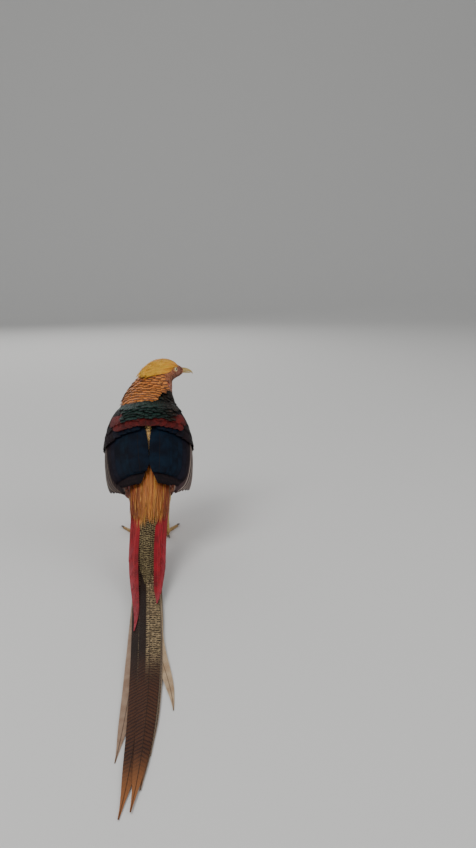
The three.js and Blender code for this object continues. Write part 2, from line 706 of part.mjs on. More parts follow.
// A feather sinks to the one below as that one ends.
function tailHeight(pair, top, s) {
  let height = top ? LAYER : 0;
  for (let under = pair + 1; under < TAIL_PAIRS; under += 1) {
    height += LAYER * smooth((PAIR_LENGTH[under] + 75 - s) / 70);
  }
  return height;
}
function tailFeather(pair, side) {
  const middle = pair === 0;
  const length = PAIR_LENGTH[pair] - (side < 0 ? 7 : 0);
  const half = PAIR_HALF[pair];
  const stray = pair === STRAY.pair && side === STRAY.side ? STRAY.out : 0;
  const surface = (s, x, height) => {
    const away = Math.max(0.3, side * x) + stray * smooth((s - STRAY.from) / STRAY.length);
    return onTail(s, middle ? x : side * away, height + tailHeight(pair, middle && side < 0, s));
  };
  const middleOut = side > 0 ? MIDDLE_OUT.left : MIDDLE_OUT.right;
  return vane(surface, {
    root: [TAIL_ROOT_AT, side * (middle ? middleOut : half * 0.36)],
    tip: [length, side * (middle ? middleOut : PAIR_OUT[pair])],
    half,
    lift: [0, 0],
    grid: TAIL_BENDS,
    columns: middle ? 2 : 1,
    shape: TAIL_BLADE,
  });
}
const tailCore = stretch(onBody, 0, TAIL_ROOT - U_GAP, 2, 20);
const rectrices = Array.from({ length: 2 * TAIL_PAIRS }, (_, i) => tailFeather(i >> 1, i % 2 ? -1 : 1));
addNode("tail", joined([tailCore, ...rectrices]).subtract(torsoCut), PAINTS.tail);

// The coverts over the tail's root: long narrow scarlet ones at the sides, spotted ones in the middle, and
// two tiers of golden plumes from the rump over both, on a surface that runs from the rump to the tail.
const RUMP_SIDES = [52, 32, 26, 23.5, 22, 21, 20, 19];
const RUMP_TOPS = [42, 23, 10, 7, 5.5, 4.5, 4, 4];
const onRump = raised((s, angle) => {
  const at = (values) => spline(values, (s + 50) / 50);
  const a = radians(angle);
  const tailTop = (tailHeight(0, true, s) + VANE + 2 * GAP) * smooth((s + 50) / 66);
  return onTail(s, at(RUMP_SIDES) * Math.sin(a), tailTop + at(RUMP_TOPS) * Math.cos(a));
}, -1);
// Each tier: how many at each side, roots and tips along the tail from the middle ones to the outermost, how
// much longer the innermost one at the left is, the angles that the innermost and the outermost ones have at
// root and tip, half widths, heights at root and tip, the steps that keep neighbours apart, and their shape.
const COVERT_TIERS = [
  {
    // scarlet
    count: 2,
    root: [20, 16],
    tip: [265, 170],
    leftMore: 70,
    from: [50, 74],
    to: [56, 78],
    half: 4,
    lift: [1.4, 2.2],
    step: [2.1, 0.9],
    shape: LOCK,
  },
  {
    // spotted
    count: 2,
    root: [24, 22],
    tip: [170, 136],
    from: [10, 30],
    to: [12, 34],
    half: 7.4,
    lift: [1.4, 1.2],
    step: [0, 1.05],
    shape: BLADE,
  },
  {
    // golden, the lower tier
    count: 3,
    root: [-4, 2],
    tip: [80, 68, 62],
    from: [11, 58],
    to: [12, 62],
    half: 7.6,
    lift: [1.3, 7.0],
    step: [0, 1.2],
    shape: LOCK,
  },
  {
    // golden, the upper tier
    count: 4,
    root: [-26, -18],
    tip: [42, 36, 34, 30],
    from: [9, 66],
    to: [10, 66],
    half: 7,
    lift: [1.3, 7.6],
    step: [0, 1.2],
    shape: LOCK,
  },
];
const coverts = Object.values(SIDES).flatMap((side) =>
  COVERT_TIERS.flatMap(({ count, root, tip, leftMore = 0, from, to, half, lift, step, shape }) =>
    Array.from({ length: count }, (_, i) => {
      const f = i / (count - 1);
      return vane((s, angle, height) => onRump(s, side * angle, height), {
        root: [lerp(...root, f), lerp(...from, f)],
        tip: [
          spline(tip, f * (tip.length - 1)) + (side > 0 ? leftMore * (1 - f) : 0),
          lerp(...to, f),
        ],
        half,
        lift,
        step: step[(i + (side > 0 ? 0 : 1)) % step.length],
        grid: [-34, 0, ...TAIL_BENDS],
        columns: 1,
        shape,
      });
    }),
  ),
);
const covertCore = plate((i, j) => {
  const [s, angle] = [lerp(-30, 34, i), lerp(-84, 84, j)];
  return { inner: onRump(s, angle, 0.6), outer: onRump(s, angle, 2) };
}, 3, 8);
addNode("tail_coverts", joined([covertCore, ...coverts]).subtract(torsoCut), PAINTS.coverts);

// Legs. Thigh and shank meet at the hock in two flat ends.
const HOCK = { x: 29, y: 33, z: 76 };
const HOCK_DOWN = { y: 0.8, z: -0.6 };
const ANKLE = { x: 27, y: 5, z: 9 };
const onLeg = (side) => ([x, y, z]) => new THREE.Vector3(side * x, y, z);
const atHock = (far) => [HOCK.x, HOCK.y + HOCK_DOWN.y * far, HOCK.z + HOCK_DOWN.z * far];
function thigh(side) {
  const path = [[29, -3, 122.5], [30.5, 10.4, 98], atHock(-9), atHock(0)].map(onLeg(side));
  return limb(path, [23, 19, 10.5, 5], 13, 3).subtract(torsoCut);
}
function shank(side) {
  const path = [
    atHock(GAP),
    atHock(4.5),
    [28.6, 32, 63],
    [27.6, 17, 34],
    [ANKLE.x, ANKLE.y + 0.3, ANKLE.z + 1.8],
  ].map(onLeg(side));
  const spurPath = [[27.4, 19.5, 39.4], [25.8, 27.5, 40.5], [24.8, 33, 43]];
  const spur = limb(spurPath.map(onLeg(side)), [2.6, 1.7, 0.4], 4, 1);
  return joined([limb(path, [4.7, 5.2, 3.9, 3.4, 4.2], 9, 3), spur]);
}
// Each toe: the way it points from straight ahead, outwards, its length and its radius.
const TOES = {
  inner: { turn: -26, length: 34, radius: 3.6 },
  middle: { turn: 4, length: 44, radius: 3.9 },
  outer: { turn: 30, length: 36, radius: 3.5 },
  hind: { turn: 172, length: 17, radius: 3.0 },
};
const FLAT = 0.9; // how deep each toe's pad is pressed flat on the floor
const footPoint = (side, turn, reach, z) => {
  const a = radians(turn);
  return new THREE.Vector3(side * (ANKLE.x + Math.sin(a) * reach), ANKLE.y - 4 - Math.cos(a) * reach, z);
};
function toe(side, { turn, length, radius }) {
  const pads = turn > 90 ? 2 : 3;
  const count = pads * 2 + 1;
  const path = [];
  const radii = [];
  for (let i = 0; i < count; i += 1) {
    const t = i / (count - 1);
    const swell = i % 2 ? 1 : 0.84;
    const r = radius * lerp(1.08, 0.66, t) * swell;
    radii.push(r);
    path.push(footPoint(side, turn, 2 + length * t, radius * lerp(1.08, 0.66, t) - FLAT));
  }
  return limb(path, radii, 6, 1);
}
function claw(side, { turn, length, radius }) {
  const base = radius * 0.62;
  const long = 9 + length * 0.06;
  const path = [0, 0.35, 0.7, 1].map((t) => {
    const z = lerp(radius * 0.66 - FLAT + 0.5, 0.75, t) + 1.5 * Math.sin(Math.PI * t);
    return footPoint(side, turn, 2.4 + length + GAP + long * t, z);
  });
  return limb(path, [base, base * 0.8, base * 0.5, 0.35], 6, 1);
}
const floorCut = solidOf(new THREE.BoxGeometry(400, 400, 40).translate(0, 0, -20));
function foot(side) {
  const pad = ball(footPoint(side, 0, 0, 3.6), [7.2, 8, 4.6], 8);
  const ankle = limb(
    [footPoint(side, 0, -1.5, 3), new THREE.Vector3(side * ANKLE.x, ANKLE.y - 0.2, ANKLE.z + 0.9)],
    [6.2, 4.4],
    9,
    1,
  );
  return joined([pad, ankle, ...Object.values(TOES).map((t) => toe(side, t))]).subtract(floorCut);
}
for (const [name, side] of Object.entries(SIDES)) {
  addNode(`thigh_${name}`, thigh(side), PAINTS.scarlet);
  addNode(`shank_${name}`, shank(side), PAINTS.leg);
  addNode(`foot_${name}`, foot(side), PAINTS.leg);
  for (const [which, t] of Object.entries(TOES)) {
    addNode(`claw_${which}_${name}`, claw(side, t).subtract(floorCut), PAINTS.claw);
  }
}

// The origin is under the middle of the whole bird, on the floor.
const reach = new THREE.Box3().setFromObject(bird);
bird.position.set(-(reach.min.x + reach.max.x) / 2, -(reach.min.y + reach.max.y) / 2, -reach.min.z);

export default bird;
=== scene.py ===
# A golden pheasant cock seen from behind: one skin under a coat of separate closed vanes, tract by
# tract, with a finer bill, eyes and legs. Lengths are millimetres in the CAD source's own axes until a
# piece is made: the bird faces -Y and its left side is +X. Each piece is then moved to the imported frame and
# scaled to metres.
import math

import bpy
import numpy as np
from mathutils import Matrix, Vector, kdtree


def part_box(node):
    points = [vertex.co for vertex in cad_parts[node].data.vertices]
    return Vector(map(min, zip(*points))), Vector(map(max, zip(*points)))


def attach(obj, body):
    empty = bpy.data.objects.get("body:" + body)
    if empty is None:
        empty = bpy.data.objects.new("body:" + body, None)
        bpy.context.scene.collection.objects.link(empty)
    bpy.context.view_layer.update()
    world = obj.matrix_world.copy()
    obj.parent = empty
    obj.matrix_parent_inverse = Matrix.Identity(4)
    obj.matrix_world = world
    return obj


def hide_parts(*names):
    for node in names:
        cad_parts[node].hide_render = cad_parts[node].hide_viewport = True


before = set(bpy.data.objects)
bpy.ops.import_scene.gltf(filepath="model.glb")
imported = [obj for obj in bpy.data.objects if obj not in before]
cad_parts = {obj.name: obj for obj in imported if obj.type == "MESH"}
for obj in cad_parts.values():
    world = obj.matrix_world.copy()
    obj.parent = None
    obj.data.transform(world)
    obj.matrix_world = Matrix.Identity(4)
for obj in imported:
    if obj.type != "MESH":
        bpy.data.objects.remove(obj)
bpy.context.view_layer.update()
RNG = np.random.default_rng(1758)

# The camera. The photo looks at the bird from behind and a little above, with the bird left of the middle.
IMAGE = (476, 848)
FOCAL_PX = 828.0
DISTANCE = 1.38
ELEVATION = 13.5
TARGET = Vector((0.0025, -0.30, 0.160))
TARGET_PX = (146.0, 440.5)

# Stations of the body from the tail root (0) to the bill base (12), as in the CAD source: a point on the
# spine, pitch and yaw, half sizes to the side, back and belly, and those of the folded wings' inner face.
STATIONS = np.array([
    [0, 92, 86, 38, 0, 17, 13, 15, 50, 33, 36],
    [0, 69, 105, 39, 0, 34, 27, 30, 63, 39, 44],
    [0, 42, 127, 39, 0, 51, 38, 44, 68, 42, 49],
    [0, 14, 149, 39, 0, 60, 46, 51, 68.5, 47, 53],
    [0, -13, 171, 40, 0, 61, 48, 51, 64, 48, 52],
    [0, -37, 193, 43, 0, 54, 44, 45, 55, 44, 45],
    [-2, -55, 214, 52, 0, 42, 37, 38, 42, 37, 38],
    [-9, -68, 235, 62, 18, 34, 28, 32, 34, 28, 32],
    [-18, -76, 250, 48, 38, 27, 22, 27, 27, 22, 27],
    [-30, -84, 261, 20, 53, 20, 17.5, 21, 20, 17, 21],
    [-42, -92, 265, 2, 56, 15.5, 15, 16.5, 16, 15, 17],
    [-53, -99, 264, -6, 56, 11, 10.5, 11.5, 12, 11, 12],
    [-60.5, -104, 262, -8, 56, 6.2, 6.2, 6.6, 6, 6, 7],
], float)
BILL_BASE = len(STATIONS) - 1.0
CREST_STATIONS = np.array([
    [-57, -102, 265, 7, 8],
    [-45.5, -94, 264, 15.5, 18],
    [-33, -84.5, 263, 19.5, 22.5],
    [-19.5, -74.5, 262, 20, 22.5],
    [-6, -64.5, 261, 17, 18],
    [7, -55, 257.5, 12, 13],
    [19, -46, 252.5, 6, 7],
], float)
CREST_YAW, CREST_PITCH = 56, 8
TAIL_LENGTH, TAIL_SLOPE, TAIL_FLOOR = 670, 38, 262
TAIL_START = (70, 104)
TAIL_LEAN, TAIL_DRIFT, TAIL_RIDGE = 6, 21, 3
RUMP_SIDES = np.array([52, 32, 28, 26.5, 25.5, 24, 22, 20], float)
RUMP_TOPS = np.array([42, 23, 10, 7, 5.5, 4.5, 4, 4], float)


def spline(values, u):
    """A smooth value through evenly numbered values, for any array of places."""
    values, u = np.asarray(values, float), np.asarray(u, float)
    last = len(values) - 1
    i = np.clip(np.floor(u), 0, last - 1).astype(int)
    t = u - i
    if values.ndim > 1:
        t = t[..., None]
    a, b, c, d = (values[np.clip(i + k, 0, last)] for k in (-1, 0, 1, 2))
    return b + 0.5 * t * (c - a + t * (2 * a - 5 * b + 4 * c - d + t * (3 * (b - c) + d - a)))


def smooth(t):
    s = np.clip(t, 0, 1)
    return s * s * (3 - 2 * s)


def lerp(a, b, t):
    return a + (b - a) * t


def unit(v):
    return v / np.maximum(np.linalg.norm(v, axis=-1, keepdims=True), 1e-9)


def axes_of(pitch, yaw):
    p, w = np.radians(pitch), np.radians(yaw)
    ahead = np.stack([-np.sin(w) * np.cos(p), -np.cos(w) * np.cos(p), np.sin(p)], -1)
    left = np.stack([np.cos(w), -np.sin(w), np.zeros_like(w)], -1)
    return ahead, left, np.cross(ahead, left)


def oval(centre, left, back, side, top, bottom, angle):
    a = np.radians(angle)
    rise = np.where(np.cos(a) > 0, top, bottom)
    return centre + left * (side * np.sin(a))[..., None] + back * (rise * np.cos(a))[..., None]


class Surface:
    """A bare surface (u, v) -> point, with its steps and the side that faces out."""

    def __init__(self, bare, step_u, step_v=1.0, facing=1):
        self.bare, self.step_u, self.step_v, self.facing = bare, step_u, step_v, facing

    def partials(self, u, v):
        du = (self.bare(u + self.step_u, v) - self.bare(u - self.step_u, v)) / (2 * self.step_u)
        dv = (self.bare(u, v + self.step_v) - self.bare(u, v - self.step_v)) / (2 * self.step_v)
        return du, dv

    def out(self, u, v):
        return self.facing * unit(np.cross(*self.partials(u, v)))

    def at(self, u, v, height=0.0):
        u, v = np.broadcast_arrays(np.asarray(u, float), np.asarray(v, float))
        return self.bare(u, v) + self.out(u, v) * np.asarray(height)[..., None]


def body_bare(columns):
    def bare(u, angle):
        s = spline(STATIONS, u)
        _, left, back = axes_of(s[..., 3], s[..., 4])
        return oval(s[..., :3], left, back, *(s[..., k] for k in columns), angle)

    return bare


def crest_bare(u, angle):
    s = spline(CREST_STATIONS, u)
    _, left, back = axes_of(np.full_like(u, CREST_PITCH), np.full_like(u, CREST_YAW))
    return oval(s[..., :3], -left, back, s[..., 3], s[..., 4], s[..., 3] * 0.5, angle)


def tail_curve():
    steps = 160
    step = TAIL_LENGTH / steps
    at = np.arange(steps + 1) * step
    slope_at = lambda s: np.radians(TAIL_SLOPE) * (1 - smooth((s - 30) / (TAIL_FLOOR - 30)))
    middle = slope_at(at[1:] - step / 2)
    y = TAIL_START[0] + np.concatenate([[0], np.cumsum(step * np.cos(middle))])
    z = TAIL_START[1] - np.concatenate([[0], np.cumsum(step * np.sin(middle))])
    return y, z - z[-1] * smooth(at / TAIL_FLOOR), slope_at(at)


TAIL_Y, TAIL_Z, TAIL_SLOPES = tail_curve()


def tail_point(s, x, height):
    f = np.minimum(s / TAIL_LENGTH * (len(TAIL_Y) - 1), len(TAIL_Y) - 1)
    i = np.clip(np.floor(f), 0, len(TAIL_Y) - 2).astype(int)
    mix = lambda values, share: lerp(values[i], values[i + 1], share)
    slope = mix(TAIL_SLOPES, np.clip(f - i, 0, 1))
    ridge = TAIL_RIDGE * smooth(s / 60) * smooth((560 - s) / 300) * np.maximum(0, 1 - (x / 30) ** 2)
    up = height + ridge
    drift = TAIL_LEAN * smooth((s - 20) / 130) + TAIL_DRIFT * (np.maximum(0, s) / TAIL_LENGTH) ** 5
    y, z = mix(TAIL_Y, f - i), mix(TAIL_Z, f - i)
    return np.stack([x + drift, y + up * np.sin(slope), z + up * np.cos(slope)], -1)


PAIRS = 9
PAIR_LENGTH = np.array([1, 0.955, 0.88, 0.765, 0.6, 0.48, 0.385, 0.31, 0.25]) * TAIL_LENGTH
PAIR_HALF = np.array([13, 10.5, 10, 9.5, 9, 8.5, 8, 7.5, 7])
PAIR_OUT = [0, 7, 11, 13.5, 15, 15.8, 16.3, 16.7, 17]  # how far out the tips of each pair lie
MIDDLE_OUT = {1: 6.5, -1: 2.5}  # and those of the two that lie one on the other
LAYER = 1.0
SINK_END, SINK_RUN = 75, 70  # how far past a feather's end those on it have sunk, and over what length
RUMP_STEP = 50  # between the rump's values, the first of them as far before the tail's root
RUMP_CLEAR, CLEAR_RUN = 1.2, 66  # how far its top lies over the tail feathers, and where it has come to that


def tail_height(pair, s):
    """How high a tail feather lies on those below it. It sinks as each of them ends."""
    under = [LAYER * smooth((PAIR_LENGTH[k] + SINK_END - s) / SINK_RUN) for k in range(pair + 1, PAIRS)]
    return np.sum(under, axis=0) if under else np.zeros_like(s)


def rump_bare(s, angle):
    at = (s + RUMP_STEP) / RUMP_STEP
    sides, tops = spline(RUMP_SIDES, at), spline(RUMP_TOPS, at)
    a = np.radians(angle)
    top = (tail_height(0, s) + LAYER + RUMP_CLEAR) * smooth((s + RUMP_STEP) / CLEAR_RUN)
    return tail_point(s, sides * np.sin(a), top + tops * np.cos(a))


# The legs' paths, with radii, from the CAD source.
HOCK, HOCK_DOWN, ANKLE = (29, 33, 76), (0.8, -0.6), (27, 5, 9)


def at_hock(far):
    return (HOCK[0], HOCK[1] + HOCK_DOWN[0] * far, HOCK[2] + HOCK_DOWN[1] * far)


# The thigh's path has one more point than the source's, inside the body, so that its feathers come out of
# the flank.
THIGH = np.array([(22, -14, 146), (29, -3, 122.5), (30.5, 10.4, 98), at_hock(-9), at_hock(-0.5)], float)
THIGH_RADII = np.array([14, 23, 19, 10.5, 5], float)


def tube_bare(path, radii, side):
    """A round limb as a surface: place along its path, and degrees round it from the bird's outer side."""
    path = np.asarray(path, float) * (side, 1, 1)

    def bare(u, angle):
        centre = spline(path, u)
        along = unit(spline(path, u + 0.02) - spline(path, u - 0.02))
        outwards = np.array([side, 0.0, 0.0])
        sideways = unit(outwards - along * np.sum(along * outwards, -1, keepdims=True))
        over = np.cross(along, sideways) * side
        a = np.radians(angle)[..., None]
        return centre + (sideways * np.cos(a) + over * np.sin(a)) * spline(radii, u)[..., None]

    return bare


BODY = Surface(body_bare((5, 6, 7)), 0.04)
WING = Surface(body_bare((8, 9, 10)), 0.04)
CREST = Surface(crest_bare, 0.04)
TAIL = Surface(lambda s, x: tail_point(s, x, 0.0), 1.0, 1.0, -1)
RUMP = Surface(rump_bare, 1.0, 1.0, -1)
SIDES = {"left": 1, "right": -1}
THIGHS = {name: Surface(tube_bare(THIGH, THIGH_RADII, side), 0.02) for name, side in SIDES.items()}

# The eyes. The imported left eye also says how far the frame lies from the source's own axes.
EYE = {"station": 9.95, "angle": 76, "radius": 4.7, "sunk": 2.9}


def eye_at(side):
    u, v = np.array(EYE["station"]), np.array(side * EYE["angle"])
    out = BODY.out(u, v)
    return BODY.at(u, v) - out * EYE["sunk"], out


SHIFT = np.array(sum(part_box("eye_left"), Vector())) / 2 * 1000 - eye_at(1)[0]


def shake(size, n):
    return RNG.uniform(-size, size, n)


def about_one(n, share=0.15):
    return RNG.uniform(1 - share, 1 + share, n)


def to_frame(points):
    return (points + SHIFT) / 1000


def linear(text):
    """A colour as linear red, green and blue from its six hex digits."""
    c = np.array([int(text[k : k + 2], 16) for k in (0, 2, 4)]) / 255
    return np.where(c < 0.04045, c / 12.92, ((c + 0.055) / 1.055) ** 2.4)


def rgba(colour):
    return (*(linear(colour) if isinstance(colour, str) else colour), 1.0)


def linked(name, data):
    """A new object in the scene."""
    made = bpy.data.objects.new(name, data)
    bpy.context.scene.collection.objects.link(made)
    return made


def placed(obj, slot, *replaced):
    """Puts a piece on the frame's one body and hides the nodes that it stands for. slot, its material slot,
    is not used.
    """
    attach(obj, "root")
    if replaced:
        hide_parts(*replaced)


def add_camera():
    camera = bpy.data.cameras.new("camera")
    camera.sensor_fit = "AUTO"
    camera.sensor_width = 36.0
    camera.lens = 36.0 * FOCAL_PX / max(IMAGE)
    camera.clip_start, camera.clip_end = 0.05, 60.0
    body = linked("camera", camera)
    tilt = math.radians(ELEVATION)
    body.location = TARGET + DISTANCE * Vector((0.0, math.cos(tilt), math.sin(tilt)))
    # The axis is turned until the target falls on its own pixel.
    right = math.atan((IMAGE[0] / 2 - TARGET_PX[0]) / FOCAL_PX)
    down = tilt - math.atan((TARGET_PX[1] - IMAGE[1] / 2) / FOCAL_PX)
    away = Vector((-math.sin(right) * math.cos(down), -math.cos(right) * math.cos(down), -math.sin(down)))
    body.rotation_mode = "QUATERNION"
    body.rotation_quaternion = away.to_track_quat("-Z", "Y")
    bpy.context.scene.camera = body


add_camera()

# Vanes. A batch is many closed vanes of one kind, made together.


def profile(shape, t):
    return spline(np.asarray(shape, float), t * (len(shape) - 1))


ROUND = (0.45, 0.8, 0.98, 1, 0.9, 0.32)
SQUARE = (0.4, 0.72, 0.93, 1, 1, 0.98, 0.62)
BLADE = (0.35, 0.8, 0.98, 1, 0.98, 0.88, 0.2)
TAIL_BLADE = (0.3, 0.62, 0.85, 0.97, 1, 1, 0.97, 0.9, 0.75, 0.5, 0.05)
STRAND = (0.8, 1, 0.95, 0.75, 0.1)


def vanes(surface, root, tip, half, lift, shape, rows, cols=2, thick=0.2, camber=0.1, tilt=0.0, power=1.0,
          curl=0.0, extra=None, tint=(1, 1, 1), vary=0.08, material=0):
    """Closed vanes on a surface, each from its root place to its tip place. lift is the heights at root and
    tip. camber lowers the edges, tilt raises one edge over the other, and curl bows the run sideways."""
    root, tip = np.atleast_2d(root).astype(float), np.atleast_2d(tip).astype(float)
    n = len(root)
    half = np.broadcast_to(np.asarray(half, float), (n,))
    low, high = (np.broadcast_to(np.asarray(x, float), (n,)) for x in lift)
    t = np.linspace(0, 1, rows + 1)
    bow = (np.broadcast_to(np.asarray(curl, float), (n,))[:, None] * np.sin(math.pi * t))[..., None]
    centre = root[:, None] + (tip - root)[:, None] * t[:, None] + bow * np.array([0.0, 1.0])
    du, dv = surface.partials(centre[..., 0], centre[..., 1])
    run = du * (tip - root)[:, None, :1] + dv * (tip - root)[:, None, 1:]
    out = surface.facing * unit(np.cross(du, dv))
    across = unit(np.cross(out, run))
    dot = lambda a, b: np.sum(a * b, -1)
    uu, vv, uv, pu, pv = dot(du, du), dot(dv, dv), dot(du, dv), dot(across, du), dot(across, dv)
    share = np.maximum(uu * vv - uv * uv, 1e-9)
    reach = (half[:, None] * profile(shape, t))[..., None] * np.linspace(-1, 1, cols + 1)
    place_u = centre[..., 0, None] + ((vv * pu - uv * pv) / share)[..., None] * reach
    place_v = centre[..., 1, None] + ((uu * pv - uv * pu) / share)[..., None] * reach
    height = lerp(low[:, None], high[:, None], t**power)[..., None] + tilt * reach * smooth(4 * t)[:, None]
    height = height - camber * reach**2 / np.maximum(half, 0.2)[:, None, None]
    if extra is not None:
        height = height + extra(place_u, place_v)
    normal = surface.out(place_u, place_v)
    top = surface.bare(place_u, place_v) + normal * height[..., None]
    body = np.minimum(1, 1.5 * (1.04 - t))[:, None, None]
    under = (top - normal * thick * body)[:, :, -2:0:-1]
    ring = np.concatenate([top, under], 2)
    length = np.sum(np.linalg.norm(np.diff(ring[:, :, cols // 2], axis=1), axis=-1), axis=1)
    s = np.concatenate([np.linspace(-1, 1, cols + 1), np.linspace(1, -1, cols + 1)[1:-1]])
    shade = 1 + vary * RNG.standard_normal((n, 1)) + 0.35 * vary * RNG.standard_normal((n, 3))
    tints = np.broadcast_to(np.asarray(tint, float), (n, 3)) * np.clip(shade, 0.4, 1.8)
    return {"ring": ring, "cols": cols, "s": s, "t": t, "root": root, "reach": reach, "length": length,
            "seed": RNG.random(n), "tint": tints, "material": material, "base": np.asarray(tint, float)}


def vane_faces(rows, cols):
    """The faces of one closed vane, a ring of points to each row, with both ends closed."""
    k = 2 * cols
    faces = []
    for i in range(rows):
        for r in range(k):
            a, b = i * k + r, i * k + (r + 1) % k
            faces.append((a, a + k, b + k, b))
    below = lambda j: (k - j) % k if j < cols else cols
    for j in range(cols):
        end = list(dict.fromkeys((j, j + 1, below(j + 1), below(j))))
        faces.append(tuple(end))
        faces.append(tuple(rows * k + c for c in reversed(end)))
    return faces


PATCH = 0.003  # a tuft's width on the baking map
FEW, STRIP_SHAPE = 120, 3.0  # a piece of so few vanes has strips instead, so much longer than wide


def bake_places(batches):
    """The baking map: small vanes are patches at their roots' places on the unwrap of the surface that they
    grow on, and a piece of few large vanes has each one as a strip of its own."""
    roots = np.concatenate([b["root"] for b in batches])
    low, high, count = roots.min(0), roots.max(0), len(roots)
    columns = math.ceil(math.sqrt(count * STRIP_SHAPE))
    size = np.array([1 / columns, 1 / math.ceil(count / columns)])
    made, done = [], 0
    for b in batches:
        n, s, t = len(b["ring"]), b["s"] / 2, b["t"][None, :, None]
        if count <= FEW:
            k = done + np.arange(n)
            u, v = (np.stack([k % columns, k // columns], -1) * size).T[:, :, None, None]
            u, v = u + size[0] * (0.5 + 0.86 * s[None, None]), v + size[1] * (0.04 + 0.92 * t)
        else:
            u, v = (0.02 + 0.96 * (b["root"] - low) / np.maximum(high - low, 1e-6)).T[:, :, None, None]
            u, v = u + PATCH * s[None, None], v + PATCH * (t - 0.5)
        full = np.broadcast_arrays(u, v, np.empty(b["ring"].shape[:3]))[:2]
        made.append(np.stack(full, -1).reshape(-1, 2))
        done += n
    return np.concatenate(made)


COAT = []


def give(mesh, name, kind, key, values, domain="POINT"):
    """An attribute of the mesh, a value for each point or edge."""
    mesh.attributes.new(name, kind, domain).data.foreach_set(key, np.ravel(values))


def coat(name, batches, materials, slot, *replaced, under=None):
    """One piece of the coat from its batches. under is the skin's colour there, where it isn't the tint's."""
    batches = list(batches)
    totals, loops, index, at_vertex = [], [], [], 0
    for b in batches:
        n, rows1, k = b["ring"].shape[:3]
        faces = vane_faces(rows1 - 1, b["cols"])
        offset = at_vertex + np.arange(n) * rows1 * k
        loops.append((np.concatenate(faces)[None] + offset[:, None]).ravel())
        totals.append(np.tile([len(f) for f in faces], n))
        index.append(np.full(n * len(faces), b["material"]))
        at_vertex += n * rows1 * k
    loops, totals, index = (np.concatenate(x).astype(np.int32) for x in (loops, totals, index))
    points = np.concatenate([b["ring"].reshape(-1, 3) for b in batches])
    mesh = bpy.data.meshes.new(name)
    mesh.vertices.add(at_vertex)
    mesh.vertices.foreach_set("co", to_frame(points).ravel())
    mesh.loops.add(len(loops))
    mesh.loops.foreach_set("vertex_index", loops)
    mesh.polygons.add(len(totals))
    mesh.polygons.foreach_set("loop_start", (np.cumsum(totals) - totals).astype(np.int32))
    mesh.polygons.foreach_set("loop_total", totals)
    mesh.update(calc_edges=True)
    mesh.polygons.foreach_set("use_smooth", np.ones(len(totals), bool))
    mesh.polygons.foreach_set("material_index", index)
    for m in materials:
        mesh.materials.append(m)

    def spread(value_of):
        full = (np.broadcast_to(value_of(b), b["ring"].shape[:3]) for b in batches)
        return np.concatenate([values.reshape(-1) for values in full])

    ring_s = lambda b: b["s"][None, None]
    across = spread(ring_s)
    vane_map = np.stack([across / 2 + 0.5, spread(lambda b: b["t"][None, :, None])], -1)
    for map_name, uv in (("OFBake", bake_places(batches)), ("vane", vane_map)):
        mesh.uv_layers.new(name=map_name).data.foreach_set("uv", uv[loops].ravel())
    wide = lambda b: b["reach"][..., -1:] * ring_s(b)
    left = lambda b: (b["length"][:, None] * (1 - b["t"]))[..., None]
    feather = [spread(lambda b: b["seed"][:, None, None]), spread(wide), spread(left)]
    give(mesh, "feather", "FLOAT_VECTOR", "vector", np.stack(feather, -1))
    tint = [spread(lambda b, k=k: b["tint"][:, k, None, None]) for k in range(3)]
    give(mesh, "tint", "FLOAT_COLOR", "color", np.stack([*tint, np.ones(at_vertex)], -1))
    # The two side edges of a vane stay sharp, so that its upper face is shaded alone.
    ends = np.empty(len(mesh.edges) * 2, np.int32)
    mesh.edges.foreach_get("vertices", ends)
    edge = np.abs(across[ends.reshape(-1, 2)]) > 0.999
    give(mesh, "sharp_edge", "BOOLEAN", "value", edge.all(1), "EDGE")
    made = linked(name, mesh)
    placed(made, slot, *replaced)
    for b in batches:
        base = np.broadcast_to(b["base"] if under is None else linear(under), (len(b["ring"]), 3))
        COAT.append((b["ring"][:, 0, 0], base))


JITTER = 0.3  # how far a root may lie off its place, as a share of the distance to the next


def rows_on(surface, u0, u1, edges, pitch, gap):
    """Staggered places on a surface between two stations. edges are the two limits of v, or a function that
    gives them for u. pitch and gap are the distances between rows and between neighbours in a row."""
    places, u, row = [], u0, 0
    sign = 1 if u1 > u0 else -1
    while (u1 - u) * sign > 0:
        low, high = edges(u) if callable(edges) else edges
        middle = np.array([(low + high) / 2])
        du, _ = surface.partials(np.array([u]), middle)
        v = np.linspace(low, high, 40)
        line = surface.bare(np.full(40, u), v)
        steps = np.concatenate([[0], np.cumsum(np.linalg.norm(np.diff(line, axis=0), axis=1))])
        n = max(2, int(round(steps[-1] / gap)))
        at = (np.arange(n) + (0.25 if row % 2 else 0.75)) / n * steps[-1]
        at = at + RNG.uniform(-JITTER, JITTER, n) * gap
        found = np.interp(at, steps, v)
        back = RNG.uniform(-JITTER, JITTER, n) * pitch / np.linalg.norm(du[0])
        places.append(np.stack([u + back, found], -1))
        u += sign * pitch / np.linalg.norm(du[0])
        row += 1
    return np.concatenate(places)


def lay(surface, roots, length, turn=0.0, sign=-1):
    """Tips for roots, a length away along the surface towards the tail, turned by turn in v."""
    du, _ = surface.partials(roots[:, 0], roots[:, 1])
    step = np.asarray(length, float) / np.linalg.norm(du, axis=1)
    return np.stack([roots[:, 0] + sign * step, roots[:, 1] + turn], -1)


# Materials.


